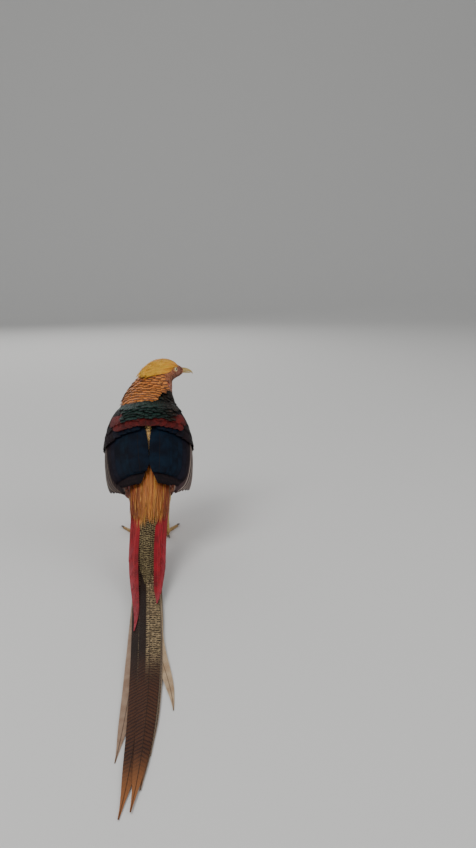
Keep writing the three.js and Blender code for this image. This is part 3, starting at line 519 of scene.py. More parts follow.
class Paint:
    """A material's node tree, built through a few short calls."""

    def __init__(self, name, roughness=0.55, **sockets):
        self.material = bpy.data.materials.new(name)
        self.material.use_nodes = True
        self.tree = self.material.node_tree
        self.shader = self.tree.nodes["Principled BSDF"]
        self.set("Roughness", roughness)
        for key, value in sockets.items():
            self.set(key.replace("_", " "), value)

    def plug(self, socket, value):
        """A socket's value, or a link to it."""
        if isinstance(value, bpy.types.NodeSocket):
            self.tree.links.new(value, socket)
        else:
            socket.default_value = value

    def set(self, slot, value):
        self.plug(self.shader.inputs[slot], value)

    def node(self, kind, inputs, output=0, **settings):
        made = self.tree.nodes.new("ShaderNode" + kind)
        for key, value in settings.items():
            setattr(made, key, value)
        for slot, value in inputs.items():
            self.plug(made.inputs[slot], value)
        return made.outputs if output is None else made.outputs[output]

    def math(self, operation, a, b=0.0):
        return self.node("Math", {0: a, 1: b}, operation=operation)

    def times(self, a, b):
        return self.math("MULTIPLY", a, b)

    def mix(self, share, a, b, how="MIX"):
        """Two colours mixed. Each is a socket, hex digits, or red, green and blue."""
        a, b = (x if isinstance(x, bpy.types.NodeSocket) else rgba(x) for x in (a, b))
        return self.node("Mix", {0: share, 6: a, 7: b}, 2, data_type="RGBA", blend_type=how)

    def tinted(self, colour, tint):
        return self.mix(1.0, colour, tint, "MULTIPLY")

    def step(self, x, low, high):
        """0 below low and 1 above high, smoothly. With low above high it falls."""
        return self.node("MapRange", {0: x, 1: low, 2: high}, interpolation_type="SMOOTHSTEP")

    def noise(self, vector, scale, detail=2.0, output=0):
        return self.node("TexNoise", {"Vector": vector, "Scale": scale, "Detail": detail}, output)

    def vector(self, operation, a, b=(0.0, 0.0, 0.0), output=0):
        second = 3 if operation == "SCALE" else 1
        return self.node("VectorMath", {0: a, second: b}, output, operation=operation)

    def parts(self, vector):
        return self.node("SeparateXYZ", {0: vector}, None)

    def attribute(self, name, output="Vector"):
        return self.node("Attribute", {}, output, attribute_name=name)

    def place(self):
        return self.node("TexCoord", {}, "Object")

    def done(self, colour, height, depth):
        """The finished material, with its colour and a bump of this depth in metres."""
        self.set("Base Color", colour)
        self.set("Normal", self.node("Bump", {"Strength": 1.0, "Distance": depth, "Height": height}))
        return self.material


BARB_SLANT = 0.9


class Feather(Paint):
    """The parts that all feather materials share: coordinates in the vane, its shaft and its barbs."""

    def __init__(self, name, barbs=0.5, **more):
        super().__init__(name, **more)
        self.seed, self.wide, self.from_tip = self.parts(self.attribute("feather"))[:3]
        uv = self.parts(self.node("UVMap", {}, uv_map="vane"))
        self.along = uv[1]
        self.side = self.times(self.math("ABSOLUTE", self.math("SUBTRACT", uv[0], 0.5)), 2.0)
        self.tint = self.attribute("tint", "Color")
        reach = self.math("ABSOLUTE", self.wide)
        # Barbs leave the shaft at a slant, so a barb's number grows with the distance from the shaft too.
        self.slant = self.math("ADD", self.from_tip, self.times(reach, BARB_SLANT))
        wave = self.math("SINE", self.times(self.slant, 2 * math.pi / barbs))
        self.barb = self.node("Math", {0: wave, 1: 0.5, 2: 0.5}, operation="MULTIPLY_ADD")
        # The place in the vane, far away from the places in all other vanes, so that their patterns differ.
        self.here = self.node("CombineXYZ", {0: self.wide, 1: self.from_tip, 2: self.times(self.seed, 91.0)})
        self.shaft = self.step(reach, 0.55, 0.15)

    def mottled(self, a, b, scale=0.03, sharper=None):
        """Two colours in soft patches. sharper is the run of the noise in which one turns into the other."""
        share = self.noise(self.here, scale, 3.0 if sharper else 2.0)
        return self.mix(self.step(share, *sharper) if sharper else share, a, b)

    def over(self, colour, top, share, x, low, high):
        """The colour with another over it, which comes in as x goes from low to high."""
        return self.mix(self.times(self.step(x, low, high), share), colour, top)

    def bars(self, period, rise, fall, scale=0.11, wobble=7.0):
        """Slanting wavy bars. rise and fall are the shares of the period over which one comes and goes."""
        bent = self.math("ADD", self.slant, self.times(self.noise(self.here, scale, 3.0), wobble))
        band = self.math("FRACT", self.math("DIVIDE", bent, period))
        return self.times(self.step(band, *rise), self.step(band, *fall))

    def finish(self, colour, shaft=None, shaft_share=0.5, barb_shade=0.22, barb_depth=0.00012):
        colour = self.mix(self.times(self.barb, barb_shade), colour, (0.0, 0.0, 0.0))
        if shaft:
            colour = self.mix(self.times(self.shaft, shaft_share), colour, shaft)
        return self.done(colour, self.math("ADD", self.times(self.barb, 0.5), self.shaft), barb_depth)


# The barbs of large feathers, how deep they are in metres, and the edge of their patches.
BROAD, BROAD_DEPTH, PATCHY = 0.9, 0.00018, (0.3, 0.7)


def plain_plumage():
    """Small feathers of one colour: darker and greyer at the root, livelier at the tip."""
    p = Feather("plumage", roughness=0.62, Sheen_Weight=0.25)
    colour = p.mix(p.step(p.along, 0.25, 0.8), p.tinted(p.tint, (0.34, 0.26, 0.24)), p.tint)
    grain = p.step(p.noise(p.here, 0.35, 3.0), 0.35, 0.75)
    colour = p.mix(grain, colour, p.tinted(colour, (1.25, 1.25, 1.2)))
    return p.finish(colour, (0.6, 0.4, 0.25), 0.12)


def silk(name, deep, bright, pale):
    """Hair fine plumes: strands that differ, with a glossy run."""
    p = Feather(name, roughness=0.42, Sheen_Weight=0.08)
    colour = p.mix(p.step(p.seed, 0.1, 0.95), deep, bright)
    colour = p.over(colour, pale, 0.4, p.along, 0.45, 1.0)
    return p.finish(p.tinted(colour, p.tint), barb_shade=0.1)


CAPE_BARS = ((0.5, 2.9), (7.4, 10.0), (14.2, 16.6))  # how far from the feather's end each bar begins and ends
SOFT = 0.3  # half the width of a bar's edge


def cape_paint():
    """Orange with dark bars parallel to the feather's square end, a little bent back at its sides."""
    p = Feather("cape_bars", roughness=0.55, Sheen_Weight=0.05)
    wobble = p.times(p.math("SUBTRACT", p.noise(p.here, 0.3, 2.0), 0.5), 1.6)
    run = p.math("ADD", p.from_tip, p.math("ADD", wobble, p.times(p.times(p.side, p.side), -0.7)))
    bars = 0.0
    for low, high in CAPE_BARS:
        bar = p.times(p.step(run, low - SOFT, low + SOFT), p.step(run, high + SOFT, high - SOFT))
        bars = p.math("MAXIMUM", bars, bar)
    light = p.tinted(p.mix(p.step(p.from_tip, 2.0, 16.0), "dc8030", "bc621c"), p.tint)
    light = p.mix(p.step(p.noise(p.here, 0.5, 3.0), 0.4, 0.8), light, "e49a50")
    return p.finish(p.mix(p.times(bars, 0.94), light, "38190b"), barb_shade=0.16)


def scale_paint():
    """The mantle: metallic green scales with black edges."""
    p = Feather("mantle_scales", roughness=0.5, Metallic=0.1, Specular_IOR_Level=0.25)
    edge = p.math("MAXIMUM", p.step(p.from_tip, 2.6, 1.4), p.step(p.side, 0.72, 0.9))
    green = p.mix(p.step(p.from_tip, 4.0, 12.0), p.mix(p.seed, "16302a", "263e36"), "0c201a")
    return p.finish(p.mix(edge, p.tinted(green, p.tint), "0c0d0c"), barb_shade=0.3)


def wing_paint(name, dark, light, edge, edge_share, bar=None, roughness=0.5, gloss=0.3):
    """Wing feathers: two colours in patches, a rim of a third, and broken bars where bar is a colour."""
    p = Feather(name, BROAD, roughness=roughness, Specular_IOR_Level=gloss)
    colour = p.tinted(p.mottled(dark, light, 0.06, PATCHY), p.tint)
    if bar:
        broken = p.times(p.bars(7.5, (0.52, 0.62), (0.98, 0.86), 0.22, 5.0), p.step(p.side, 0.25, 0.6))
        colour = p.mix(p.times(broken, 0.7), colour, bar)
    colour = p.over(colour, p.tinted(edge, p.tint), edge_share, p.side, 0.9, 0.97)
    return p.finish(colour, "1c120c", 0.7, barb_depth=BROAD_DEPTH)


# Past this the left web has no marks and stays plain dark: painted shade.
PAINTED_SHADE_FROM = 5.0  # how far out on the left web the spots still are


def spotted_paint(name, spotted_from, cream, fineness=1.0, tip_share=0.0):
    """The middle tail feathers and their coverts: black brown, crowded with small round and worm-like cream
    marks on the right web and the inner part of the left one, and barred from spotted_from to the tip. The
    outer part of the left web is left without marks, plain dark as painted shade."""
    p = Feather(name, BROAD, roughness=0.6, Specular_IOR_Level=0.15)
    here = p.vector("SCALE", p.here, fineness)
    spot_at = p.vector("ADD", here, p.vector("SCALE", p.noise(here, 0.16, 2.0, 1), 5.0))
    squeezed = p.vector("MULTIPLY", spot_at, (0.25, 0.22, 1.0))
    spots = p.step(p.node("TexVoronoi", {"Vector": squeezed, "Scale": 1.0, "Randomness": 0.8}), 0.44, 0.32)
    worms = p.node("TexWave", {"Vector": spot_at, "Scale": 0.062, "Distortion": 6.0, "Detail": 1.0,
                               "Detail Scale": 0.35}, 1, bands_direction="Y")
    pattern = p.math("MAXIMUM", spots, p.step(worms, 0.66, 0.8))
    barred = p.step(p.from_tip, spotted_from + 60.0, spotted_from - 60.0)
    # The outer left web loses its marks: painted shade.
    pattern = p.times(pattern, p.step(p.wide, -PAINTED_SHADE_FROM, 1.6 - PAINTED_SHADE_FROM))
    pattern = p.times(pattern, p.math("SUBTRACT", 1.0, barred))
    colour = p.mix(pattern, p.mottled("180d07", "2e1b11"), p.mottled(*cream, 0.05))
    bars = p.times(p.bars(6.5, (0.4, 0.56), (0.98, 0.84)), 0.75)
    colour = p.mix(barred, colour, p.mix(bars, p.mottled("442616", "5a3520"), "201210"))
    colour = p.over(colour, "a4683c", tip_share, p.from_tip, 90.0, 20.0)
    return p.finish(colour, "2a1c12", 0.8, barb_depth=BROAD_DEPTH)


def barred_paint():
    """The outer tail feathers: brown with slanting dark bars, paler along the edge and at the tip."""
    p = Feather("tail_bars", BROAD, roughness=0.6, Specular_IOR_Level=0.15)
    ground = p.tinted(p.mottled("5e4838", "7a6252"), p.tint)
    colour = p.mix(p.times(p.bars(7.0, (0.48, 0.6), (0.98, 0.88)), 0.85), ground, "2a1a10")
    colour = p.over(colour, "a88468", 0.9, p.from_tip, 60.0, 6.0)
    return p.finish(p.over(colour, "a8967e", 0.6, p.side, 0.8, 0.95), "33210f", 0.85, barb_depth=BROAD_DEPTH)


def scarlet_paint():
    """The long scarlet coverts: crimson webs with a paler shaft and an orange base."""
    p = Feather("scarlet_plumes", 0.8, roughness=0.5, Specular_IOR_Level=0.3)
    colour = p.mix(p.step(p.along, 0.3, 0.02), p.mottled("6e0412", "980a1e", 0.05, PATCHY), "b4451c")
    colour = p.over(p.tinted(colour, p.tint), "b84a58", 0.35, p.from_tip, 40.0, 4.0)
    return p.finish(colour, "b8403c", 0.4, barb_depth=BROAD_DEPTH)


PLUMAGE = plain_plumage()

# The coat of small body feathers, tract by tract.


def body_tract(u0, u1, across, pitch, gap, length, half, lift, tint, fan=0.06):
    """Small feathers at both sides, between two stations and two angles."""
    for side in SIDES.values():
        roots = rows_on(BODY, u0, u1, sorted(side * a for a in across), pitch, gap)
        n = len(roots)
        long = length * about_one(n)
        tips = lay(BODY, roots, long, roots[:, 1] * fan + RNG.normal(0, 2.0, n))
        high = lift[1] + shake(0.5, n)
        colour = tint(roots) if callable(tint) else tint
        yield vanes(BODY, roots, tips, half * about_one(n), (lift[0], high), ROUND, 4, camber=0.12,
                    power=0.8, tint=colour, vary=0.1)


SCARLET, CHESTNUT = linear("b3150f"), linear("7a2c14")
PALE_GOLD, RUST = linear("dcae68"), linear("a8552c")


def belly_tint(places):
    """Scarlet on breast and flanks, chestnut towards the vent and between the legs."""
    u, v = places[:, 0], np.abs(places[:, 1])
    low = smooth((2.6 - u) / 1.6) * smooth((v - 100) / 50)
    return lerp(SCARLET, CHESTNUT, (0.8 * low)[:, None])


def neck_tint(places):
    """Rusty tan at the throat, turning scarlet over the upper breast."""
    down = smooth((7.3 - places[:, 0]) / 1.0)
    return lerp(RUST, SCARLET, down[:, None])


breast = body_tract(6.9, 0.9, (58, 180), 5.4, 5.0, 20, 5.2, (-3.6, 0.5), belly_tint)
vent = body_tract(1.9, 0.35, (95, 180), 5.0, 4.6, 26, 4.6, (-3.0, 0.0), CHESTNUT, fan=0.0)
coat("breast_feathers", [*breast, *vent], [PLUMAGE], "scarlet_plumage")
back = body_tract(4.7, 0.7, (0, 58), 5.2, 4.6, 24, 4.8, (-3.4, 0.6), PALE_GOLD)
coat("back_feathers", back, [PLUMAGE], "gold_plumage")


def mantle_batches():
    """Scales over the upper back and the wings' front edges, wide on the right, where the cape hangs away. On
    the right they are tinted darker and browner as painted shade.
    """
    def edges(u):
        up = smooth((u - 4.6) / 1.4)
        return -lerp(36, 104, up), lerp(36, 60, up)

    roots = rows_on(WING, 7.1, 4.0, edges, 5.4, 6.0)
    n = len(roots)
    front = smooth((roots[:, 0] - 4.75) / 1.0)
    high = lerp(10.8, 2.8, front) + shake(0.4, n)
    tips = lay(WING, roots, 16 * about_one(n, 0.1), roots[:, 1] * 0.04 + RNG.normal(0, 1.5, n))
    low = lerp(5.5, -2.0, front)
    # The right side's scales are darkened towards brown: painted shade.
    brown = smooth(-(roots[:, 1] + 8) / 30)[:, None]
    tint = lerp(1.0, np.array([2.0, 0.36, 0.26]), brown)
    return [vanes(WING, roots, tips, 5.6, (low, high), ROUND, 6, cols=4, camber=0.14, power=0.8, tint=tint,
                  vary=0.12)]


coat("mantle_feathers", mantle_batches(), [scale_paint()], "scarlet_plumage", under="101512")

THIGH_TINT = linear("a85a30")


def thigh_batches():
    """Scarlet feathers at the top, rust ones below, none past the hock."""
    for name in SIDES:
        roots = rows_on(THIGHS[name], 0.45, 3.7, (0, 360), 4.6, 4.4)
        n = len(roots)
        tips = lay(THIGHS[name], roots, 13 * RNG.uniform(0.8, 1.1, n), RNG.normal(0, 3, n), 1)
        tips[:, 0] = np.minimum(tips[:, 0], 4.02)
        low = -np.minimum(3.0, 0.35 * spline(THIGH_RADII, roots[:, 0]))
        tint = lerp(SCARLET, THIGH_TINT, smooth((roots[:, :1] - 0.9) / 0.7))
        yield vanes(THIGHS[name], roots, tips, 3.6, (low, 0.4), ROUND, 4, tint=tint, vary=0.1)


coat("thigh_feathers", thigh_batches(), [PLUMAGE], "face_plumage")

# Head and neck: tiny feathers on the face, longer ones on throat and nape.


def clear_of_eyes(places, room):
    """Places that keep room, in millimetres, from both eyes."""
    at = BODY.at(places[:, 0], places[:, 1])
    far = np.min([np.linalg.norm(at - eye_at(side)[0], axis=1) for side in (1, -1)], axis=0)
    return places[far > EYE["radius"] + room]


def face_tint(places):
    u, v = places[:, 0], np.abs(places[:, 1])
    cheek = np.exp(-(((u - 9.1) / 0.55) ** 2 + ((v - 112) / 26) ** 2))
    lores = np.exp(-(((u - 10.7) / 0.7) ** 2 + ((v - 85) / 32) ** 2))
    chin = smooth((v - 130) / 30)[:, None]
    colour = lerp(linear("c8703a"), linear("bf8154"), chin)
    colour = lerp(colour, linear("84401f"), (0.7 * cheek)[:, None])
    return lerp(colour, linear("d68a78"), (0.6 * lores)[:, None])


def face_batches():
    roots = clear_of_eyes(rows_on(BODY, BILL_BASE, 8.2, (28, 332), 1.7, 1.6), 1.4)
    roots[:, 1] = np.where(roots[:, 1] > 180, roots[:, 1] - 360, roots[:, 1])
    back = smooth((11.6 - roots[:, 0]) / 3.2)
    length = lerp(3.2, 8.5, back) * about_one(len(roots))
    tips = lay(BODY, roots, length, RNG.normal(0, 3.0, len(roots)))
    half = lerp(0.7, 1.5, back)
    face = vanes(BODY, roots, tips, half, (lerp(-0.9, -1.6, back), lerp(0.15, 0.5, back)), ROUND, 3,
                 tint=face_tint(roots), vary=0.09, thick=0.12)
    roots = rows_on(BODY, 8.6, 6.6, (0, 360), 3.6, 3.2)
    tips = lay(BODY, roots, 14 * about_one(len(roots)), RNG.normal(0, 3.0, len(roots)))
    neck = vanes(BODY, roots, tips, 2.8, (-2.4, 0.5), ROUND, 4, tint=neck_tint(roots), vary=0.1, thick=0.16)
    return [face, neck]


coat("face_feathers", face_batches(), [PLUMAGE], "face_plumage")


CREST_SIDE = (58, 86)  # how far down the sides its roots reach, over the eye and behind it


def crest_batches():
    """Silky strands from the forehead, crown and nape, in three heights over a bed of broader locks."""
    for count, u, reach, half, low, high, rows in (
        (150, (0.3, 3.2), (1.7, 3.0), 2.0, -3.2, -1.4, 6),
        (520, (0.9, 3.4), (2.3, 2.9), 0.62, -3.0, 0.2, 7),
        (620, (0.4, 2.6), (2.2, 3.1), 0.58, -3.0, 1.8, 7),
        (520, (0.15, 1.6), (2.0, 3.0), 0.55, -2.6, 2.6, 7),
    ):
        root_u = RNG.uniform(*u, count)
        widest = lerp(CREST_SIDE[0], CREST_SIDE[1], smooth((root_u - 0.9) / 1.5))
        angle = shake(1, count) * widest
        side = np.abs(angle) / 90
        far = RNG.uniform(*reach, count) * lerp(1.0, 0.62, side**2)
        tip_u = np.minimum(root_u + far, RNG.uniform(5.3, 6.05, count))
        tips = np.stack([tip_u, angle * RNG.uniform(0.8, 1.0, count)], -1)
        roots = np.stack([root_u, angle], -1)
        top = high * (1 - 0.5 * side) + RNG.uniform(-0.7, 0.5, count)
        yield vanes(CREST, roots, tips, half, (low, top), STRAND, rows, thick=0.35, camber=0.35,
                    power=0.6, curl=RNG.normal(0, 2.5, count), vary=0.1)


CREST_SILK = silk("crest_silk", "ee9810", "ffc21c", "ffdc58")
coat("crest_plumes", crest_batches(), [CREST_SILK], "gold_plumage", "crest", under="b07c18")

CAPE_SWING, CAPE_SLANT = (8, 20), 0.46  # it hangs to the left, more so further up, and its rows slant
CAPE_LEFT_ONLY = {-2: 0.0, -1: -0.35}  # the lowest rows, and where across the cape they begin


def cape_batches():
    """Rows of broad square feathers from the nape and the neck's sides over the upper back."""
    rows = 13
    for row in range(-2, rows):
        f = max(0, row / (rows - 1))
        low = min(0, 0.24 * row)
        root_u, tip_u = lerp(6.3, 8.8, f) + low, lerp(4.35, 7.85, f) + low
        spread_root, spread_tip = spline([54, 74, 82, 80, 62], 4 * f), spline([29, 46, 70, 82, 76], 4 * f)
        n = int(round(lerp(9, 10, f)))
        across = (np.arange(n) + (0.25 if row % 2 else 0.75)) / n * 2 - 1
        across = (across + shake(0.04, n))[across > CAPE_LEFT_ONLY.get(row, -1)]
        n = len(across)
        drop = 0.16 * (1 - across**2)
        bare = np.where(across < 0, spline([0.62, 0.5, 0.62, 0.95, 1.0], 4 * f), 1.0)
        root_swing, tip_swing = (lerp(*CAPE_SWING, smooth((u - 4.3) / 1.9)) for u in (root_u, tip_u))
        slant = lerp(0.1, CAPE_SLANT, min(1, 2 * f)) * across
        roots = np.stack([root_u - 0.6 * drop + 0.6 * slant, across * bare * spread_root + root_swing], -1)
        tip_u = tip_u - drop + slant + shake(0.06, n)
        tips = np.stack([tip_u, across * bare * spread_tip + tip_swing], -1)
        high = 5.6 * spline([0.95, 1.05, 1.1, 1.05, 0.85], 4 * f) + shake(0.4, n)
        yield vanes(BODY, roots, tips, lerp(7.8, 5.8, f), (0.6, high), SQUARE, 12, cols=6, camber=0.16,
                    thick=0.25, vary=0.06)


coat("cape_feathers", cape_batches(), [cape_paint()], "orange_cape", "cape", under="6e3a1a")

# The wings.
WING_PAINTS = [wing_paint(*row) for row in (
    ("primaries", "2c1c20", "3c2a2c", "d8c8b4", 0.9, "4c3834", 0.5, 0.2),
    ("secondaries", "0c0509", "170a11", "30201f", 0.3, "26161a", 0.6, 0.15),
    ("tertials", "020818", "051a2c", "010206", 0.4, None, 0.6, 0.12),
    ("wing_coverts", "0c0709", "1c0f13", "2c1a1c", 0.35, None, 0.55, 0.15),
    ("scapulars", "420c0c", "6c1a18", "803028", 0.4, None, 0.55, 0.2),
)]
PRIMARY, SECONDARY, TERTIAL, COVERT, SCAPULAR = range(5)
# The outer vanes' tint of each paint, and the angles over which it comes in.
OUTER_TINTS = {COVERT: ((3.2, 2.7, 2.9), 60, 86), TERTIAL: ((12.0, 0.85, 0.5), 28, 54)}
# Of the primaries only every third has a pale rim. The others carry painted shade in the left wing, and a
# little painted light in the right one.
PLAIN_PAINTED_SHADE_AND_LIGHT, PALE_EVERY = {1: 0.42, -1: 1.1}, 3
# Each row, from its outermost vane to the innermost: how many, stations and angles of roots and of tips, half
# widths, heights at root and tip, tilt, rows of faces, and the paint.
WING_ROWS = [
    (7, [3.3, 3.1], [104, 84], [0.85, 0.4, 0.0], [85, 48], [8.0, 8.5], (1.4, [0.9, 1.2]), 0.05, 26, PRIMARY),
    (7, [3.75, 3.7], [107, 66], [0.75, 0.15], [93, 50], [11, 11.5], (1.7, [2.4, 2.7]), 0.09, 24, PRIMARY),
    (9, [3.68, 3.5], [62, 17], [0.45, 0.36, 0.4], [46, 15], [11.5, 12.5], (1.7, [2.9, 3.4]), 0.09, 24,
     SECONDARY),
    (6, [4.0, 3.9], [50, 15.5], [0.75, 0.9], [46, 12.5], [14.0, 15.5], (2.2, [4.0, 5.6]), 0.1, 22, TERTIAL),
    (7, [4.3, 4.27], [104, 66], [3.05, 2.8], [100, 66], [8.2, 8.8], (2.4, [4.8, 6.8]), 0.08, 14, COVERT),
    (6, [4.27, 4.25], [60, 20], [2.8, 3.05], [58, 16], [9.0, 10.0], (2.6, [6.8, 7.8]), 0.08, 14, TERTIAL),
    (13, [4.6, 4.45], [102, 34], [3.6, 3.4, 3.7], [100, 34], [6.4, 7.0], (2.6, [5.4, 7.8]), 0.07, 10, COVERT),
    (12, [4.85, 4.75], [99, 40], [4.05, 3.85], [98, 40], [5.6, 6.0], (2.4, [5.2, 7.6]), 0.07, 9, COVERT),
    (11, [5.05, 5.0], [96, 44], [4.4, 4.2], [96, 44], [5.0, 5.4], (2.0, [4.6, 6.6]), 0.06, 8, COVERT),
    (9, [5.2, 5.15], [92, 50], [4.7, 4.55], [93, 50], [4.5, 4.7], (1.4, [3.6, 4.8]), 0.06, 8, COVERT),
    (9, [4.2, 4.15], [44, 5], [3.2, 3.18], [42, 3], [8.0, 8.6], (5.0, [9.0, 9.6]), 0.07, 12, SCAPULAR),
    (7, [4.6, 4.5], [54, 16], [3.6, 3.5], [52, 13], [7.6, 8.0], (4.0, [8.8, 9.8]), 0.06, 10, SCAPULAR),
]


def wing_batches(side):
    for count, root, start, tip, stop, half, lift, tilt, rows, paint in WING_ROWS:
        f = np.arange(count) / (count - 1)
        along = lambda values: spline(values, f * (len(values) - 1))
        roots = np.stack([along(root), side * along(start)], -1)
        tips = np.stack([along(tip) + shake(0.03, count), side * (along(stop) + shake(0.6, count))], -1)
        high = along(lift[1]) + shake(0.15, count) * (paint == COVERT)
        shape = SQUARE if paint == TERTIAL else BLADE
        tinted, inward, outward = OUTER_TINTS.get(paint, ((1.0, 1.0, 1.0), 0, 90))
        share = smooth((np.abs(tips[:, 1]) - inward) / (outward - inward))
        tint = lerp(1.0, np.array(tinted), share[:, None])
        if paint == PRIMARY:
            # Plain primaries: darkened by painted shade in the left wing, lightened a little by painted light
            # in the right.
            tint = tint * np.where(np.arange(count) % PALE_EVERY == 1, 1.0, PLAIN_PAINTED_SHADE_AND_LIGHT[side])[:, None]
        yield vanes(WING, roots, tips, along(half), (lift[0], high), shape, rows,
                    cols=6 if rows > 20 else 4, camber=0.05, thick=0.3, tilt=-side * tilt, power=0.7,
                    tint=tint, vary=0.08, material=paint)


for side_name, side in SIDES.items():
    coat(f"wing_{side_name}_feathers", wing_batches(side), WING_PAINTS, "wing_plumage", f"wing_{side_name}",
         under="1a1214")

# The tail.
TAIL_PAINTS = [spotted_paint("tail_spots", 240.0, ("8c7854", "b8a07a"), tip_share=0.85), barred_paint(),
               wing_paint("stray_vane", "b0906a", "ccb088", "dcc8a4", 0.6)]
SPOTTED, BARRED, CREAM = range(3)
TAIL_ROOT_AT = 6
RIGHT_SHORTER, RIGHT_HIGHER = 7, 0.45  # how the right feathers differ from the left ones under them
STRAY = {"pair": 3, "side": -1, "from": 330, "length": 180, "out": 17}  # one that bends away outwards
PALE, PALE_OUT = (2, 1), 11  # one that shows beside the middle feathers, and how much further out it lies
PALE_TINT, LEFT_TINT = (0.62, 0.56, 0.66), (1.05, 1.1, 1.2)


def stray_point(s, x):
    return tail_point(s, x - STRAY["out"] * smooth((s - STRAY["from"]) / STRAY["length"]), 0.0)


STRAY_BED = Surface(stray_point, 1.0, 1.0, -1)


def tail_batches():
    for pair in range(PAIRS):
        for side in (1, -1):
            middle, right = pair == 0, side < 0
            stray, pale = (pair, side) == (STRAY["pair"], STRAY["side"]), (pair, side) == PALE
            half = PAIR_HALF[pair]
            root = [TAIL_ROOT_AT, side * (MIDDLE_OUT[side] if middle else half * 0.36)]
            tip = [PAIR_LENGTH[pair] - RIGHT_SHORTER * right,
                   side * (MIDDLE_OUT[side] if middle else PAIR_OUT[pair] + pale * PALE_OUT)]
            top = (LAYER if middle else RIGHT_HIGHER) * right
            extra = lambda s, x, pair=pair, top=top: tail_height(pair, s) + top
            tint = PALE_TINT if pale else (1.0, 1.0, 1.0) if middle or right else LEFT_TINT
            paint = SPOTTED if middle else CREAM if stray or pale else BARRED
            yield vanes(STRAY_BED if stray else TAIL, [root], [tip], half, (0.55, 0.35), TAIL_BLADE, 56,
                        cols=8, thick=0.3, camber=0.02, extra=extra, tint=tint, vary=0.06,
                        material=paint)


coat("tail_feathers", tail_batches(), TAIL_PAINTS, "tail_plumage", "tail", under="3a2818")


# How much the coverts' tips lie under the rump's surface, down on the tail.
RUMP_DROP, SCARLET_DROP = 5.8, 5.0
VENT_ACROSS = np.linspace(-18, 18, 9)
COVERT_PAINTS = [spotted_paint("covert_spots", -90.0, ("6e6040", "9c8a64"), 1.3), scarlet_paint()]


def covert_batches(count, root, tip, angles, half, lift, cols, extra, left_more=0, left_out=0, **more):
    """Vanes on the rump's surface, half of them at each side, from the middle ones to the outermost. The left
    ones reach further by left_more and end further out by left_out degrees, less so towards the outermost."""
    for side in (1, -1):
        f = (np.arange(count) + (0.2 if side > 0 else 0.6)) / count
        along = lambda values: spline(values, f * (len(values) - 1))
        shaken = lambda values: along(values) + shake(1, count) * 2.0
        left = (side > 0) * (1 - f)
        roots = np.stack([shaken(root), side * along(angles[0])], -1)
        tips = np.stack([shaken(tip) + left * left_more, side * (along(angles[1]) + left * left_out)], -1)
        yield vanes(RUMP, roots, tips, half, lift, BLADE, 26, cols=cols, extra=extra, **more)


def vent_batches():
    """Feathers from the vent under the tail's root."""
    for start, stop, low in ((8, 130, -1.6), (4, 84, -2.8), (2, 48, -4.0)):
        roots = np.stack([np.full(9, start), VENT_ACROSS * 0.6], -1)
        tips = np.stack([np.full(9, stop), VENT_ACROSS], -1)
        yield vanes(TAIL, roots, tips, 6.0, (-0.6, low), BLADE, 18, cols=4, camber=-0.03,
                    tint=(0.5, 0.5, 0.5), vary=0.08, material=1)


def spotted_height(s, x):
    return -RUMP_DROP * smooth((s - 80) / 100)


def scarlet_height(s, x):
    return -SCARLET_DROP * smooth((s - 140) / 160) * np.cos(np.radians(x) / 2)


spotted = covert_batches(4, [26, 20], [205, 175, 150], ([6, 36], [6, 32]), 8.0, (0.6, 1.0), 6, spotted_height,
                         camber=0.03)
scarlet = covert_batches(7, [22, 10], [265, 240, 180, 130], ([33, 80], [34, 82]), 5.4, (0.8, 1.6), 4,
                         scarlet_height, left_more=70, left_out=30, camber=0.08, material=1)
coat("tail_coverts_long", [*spotted, *scarlet, *vent_batches()], COVERT_PAINTS, "scarlet_coverts",
     under="8a3a1c")

PLUMES_END = 104  # how far down the tail the middle plumes reach


def plume_batches():
    """Golden hair-like plumes from the rump over the tail's root."""
    for count, s, length, half, low, high, rows in (
        (150, (-38, 34), (40, 60), 2.6, 0.2, 2.6, 5),
        (540, (-38, 26), (42, 74), 0.72, 0.4, 4.4, 7),
        (500, (-36, 8), (48, 84), 0.6, 0.6, 6.4, 7),
    ):
        root_s = RNG.uniform(*s, count)
        angle = shake(84, count)
        reach = root_s + RNG.uniform(*length, count)
        end = PLUMES_END - 0.55 * np.abs(angle) + RNG.uniform(-14, 8, count)
        roots = np.stack([root_s, angle], -1)
        tips = np.stack([np.minimum(reach, end), angle * RNG.uniform(0.8, 0.98, count)], -1)
        side = (np.abs(angle) / 90)[:, None]
        top = high * RNG.uniform(0.55, 1, count) * (1 - 0.5 * side[:, 0] ** 2)
        # Strands further out at the sides turn darker and redder: partly their russet colour, partly painted
        # shade on the rump's sides.
        tint = lerp(1.0, np.array([0.42, 0.16, 0.14]), smooth(side * RNG.uniform(0.6, 1.9, (count, 1))))
        tint = np.where(RNG.random((count, 1)) < 0.1, (1.05, 1.35, 2.0), tint)
        yield vanes(RUMP, roots, tips, half, (low, top), STRAND, rows, thick=0.35, camber=0.3,
                    power=0.75, curl=RNG.normal(0, 2.5, count), tint=tint, vary=0.1)


RUMP_SILK = silk("rump_silk", "a04c10", "d98822", "d69a48")
coat("rump_plumes", plume_batches(), [RUMP_SILK], "gold_plumage", "tail_coverts", under="8a4a18")

# The skin under it all: trunk, neck, head, thighs and the wings' arms, made one by a fine remesh.


def grid(u, v):
    return np.meshgrid(u, v, indexing="ij")


def all_round(n, whole=2 * math.pi):
    return np.arange(n) * whole / n


def quads(n, k, closed=False):
    """The faces between n rings of k points. Closed, the last ring meets the first."""
    corner = lambda i, j: i % n * k + j % k
    return [(corner(i, j), corner(i, j + 1), corner(i + 1, j + 1), corner(i + 1, j))
            for i in range(n if closed else n - 1) for j in range(k)]


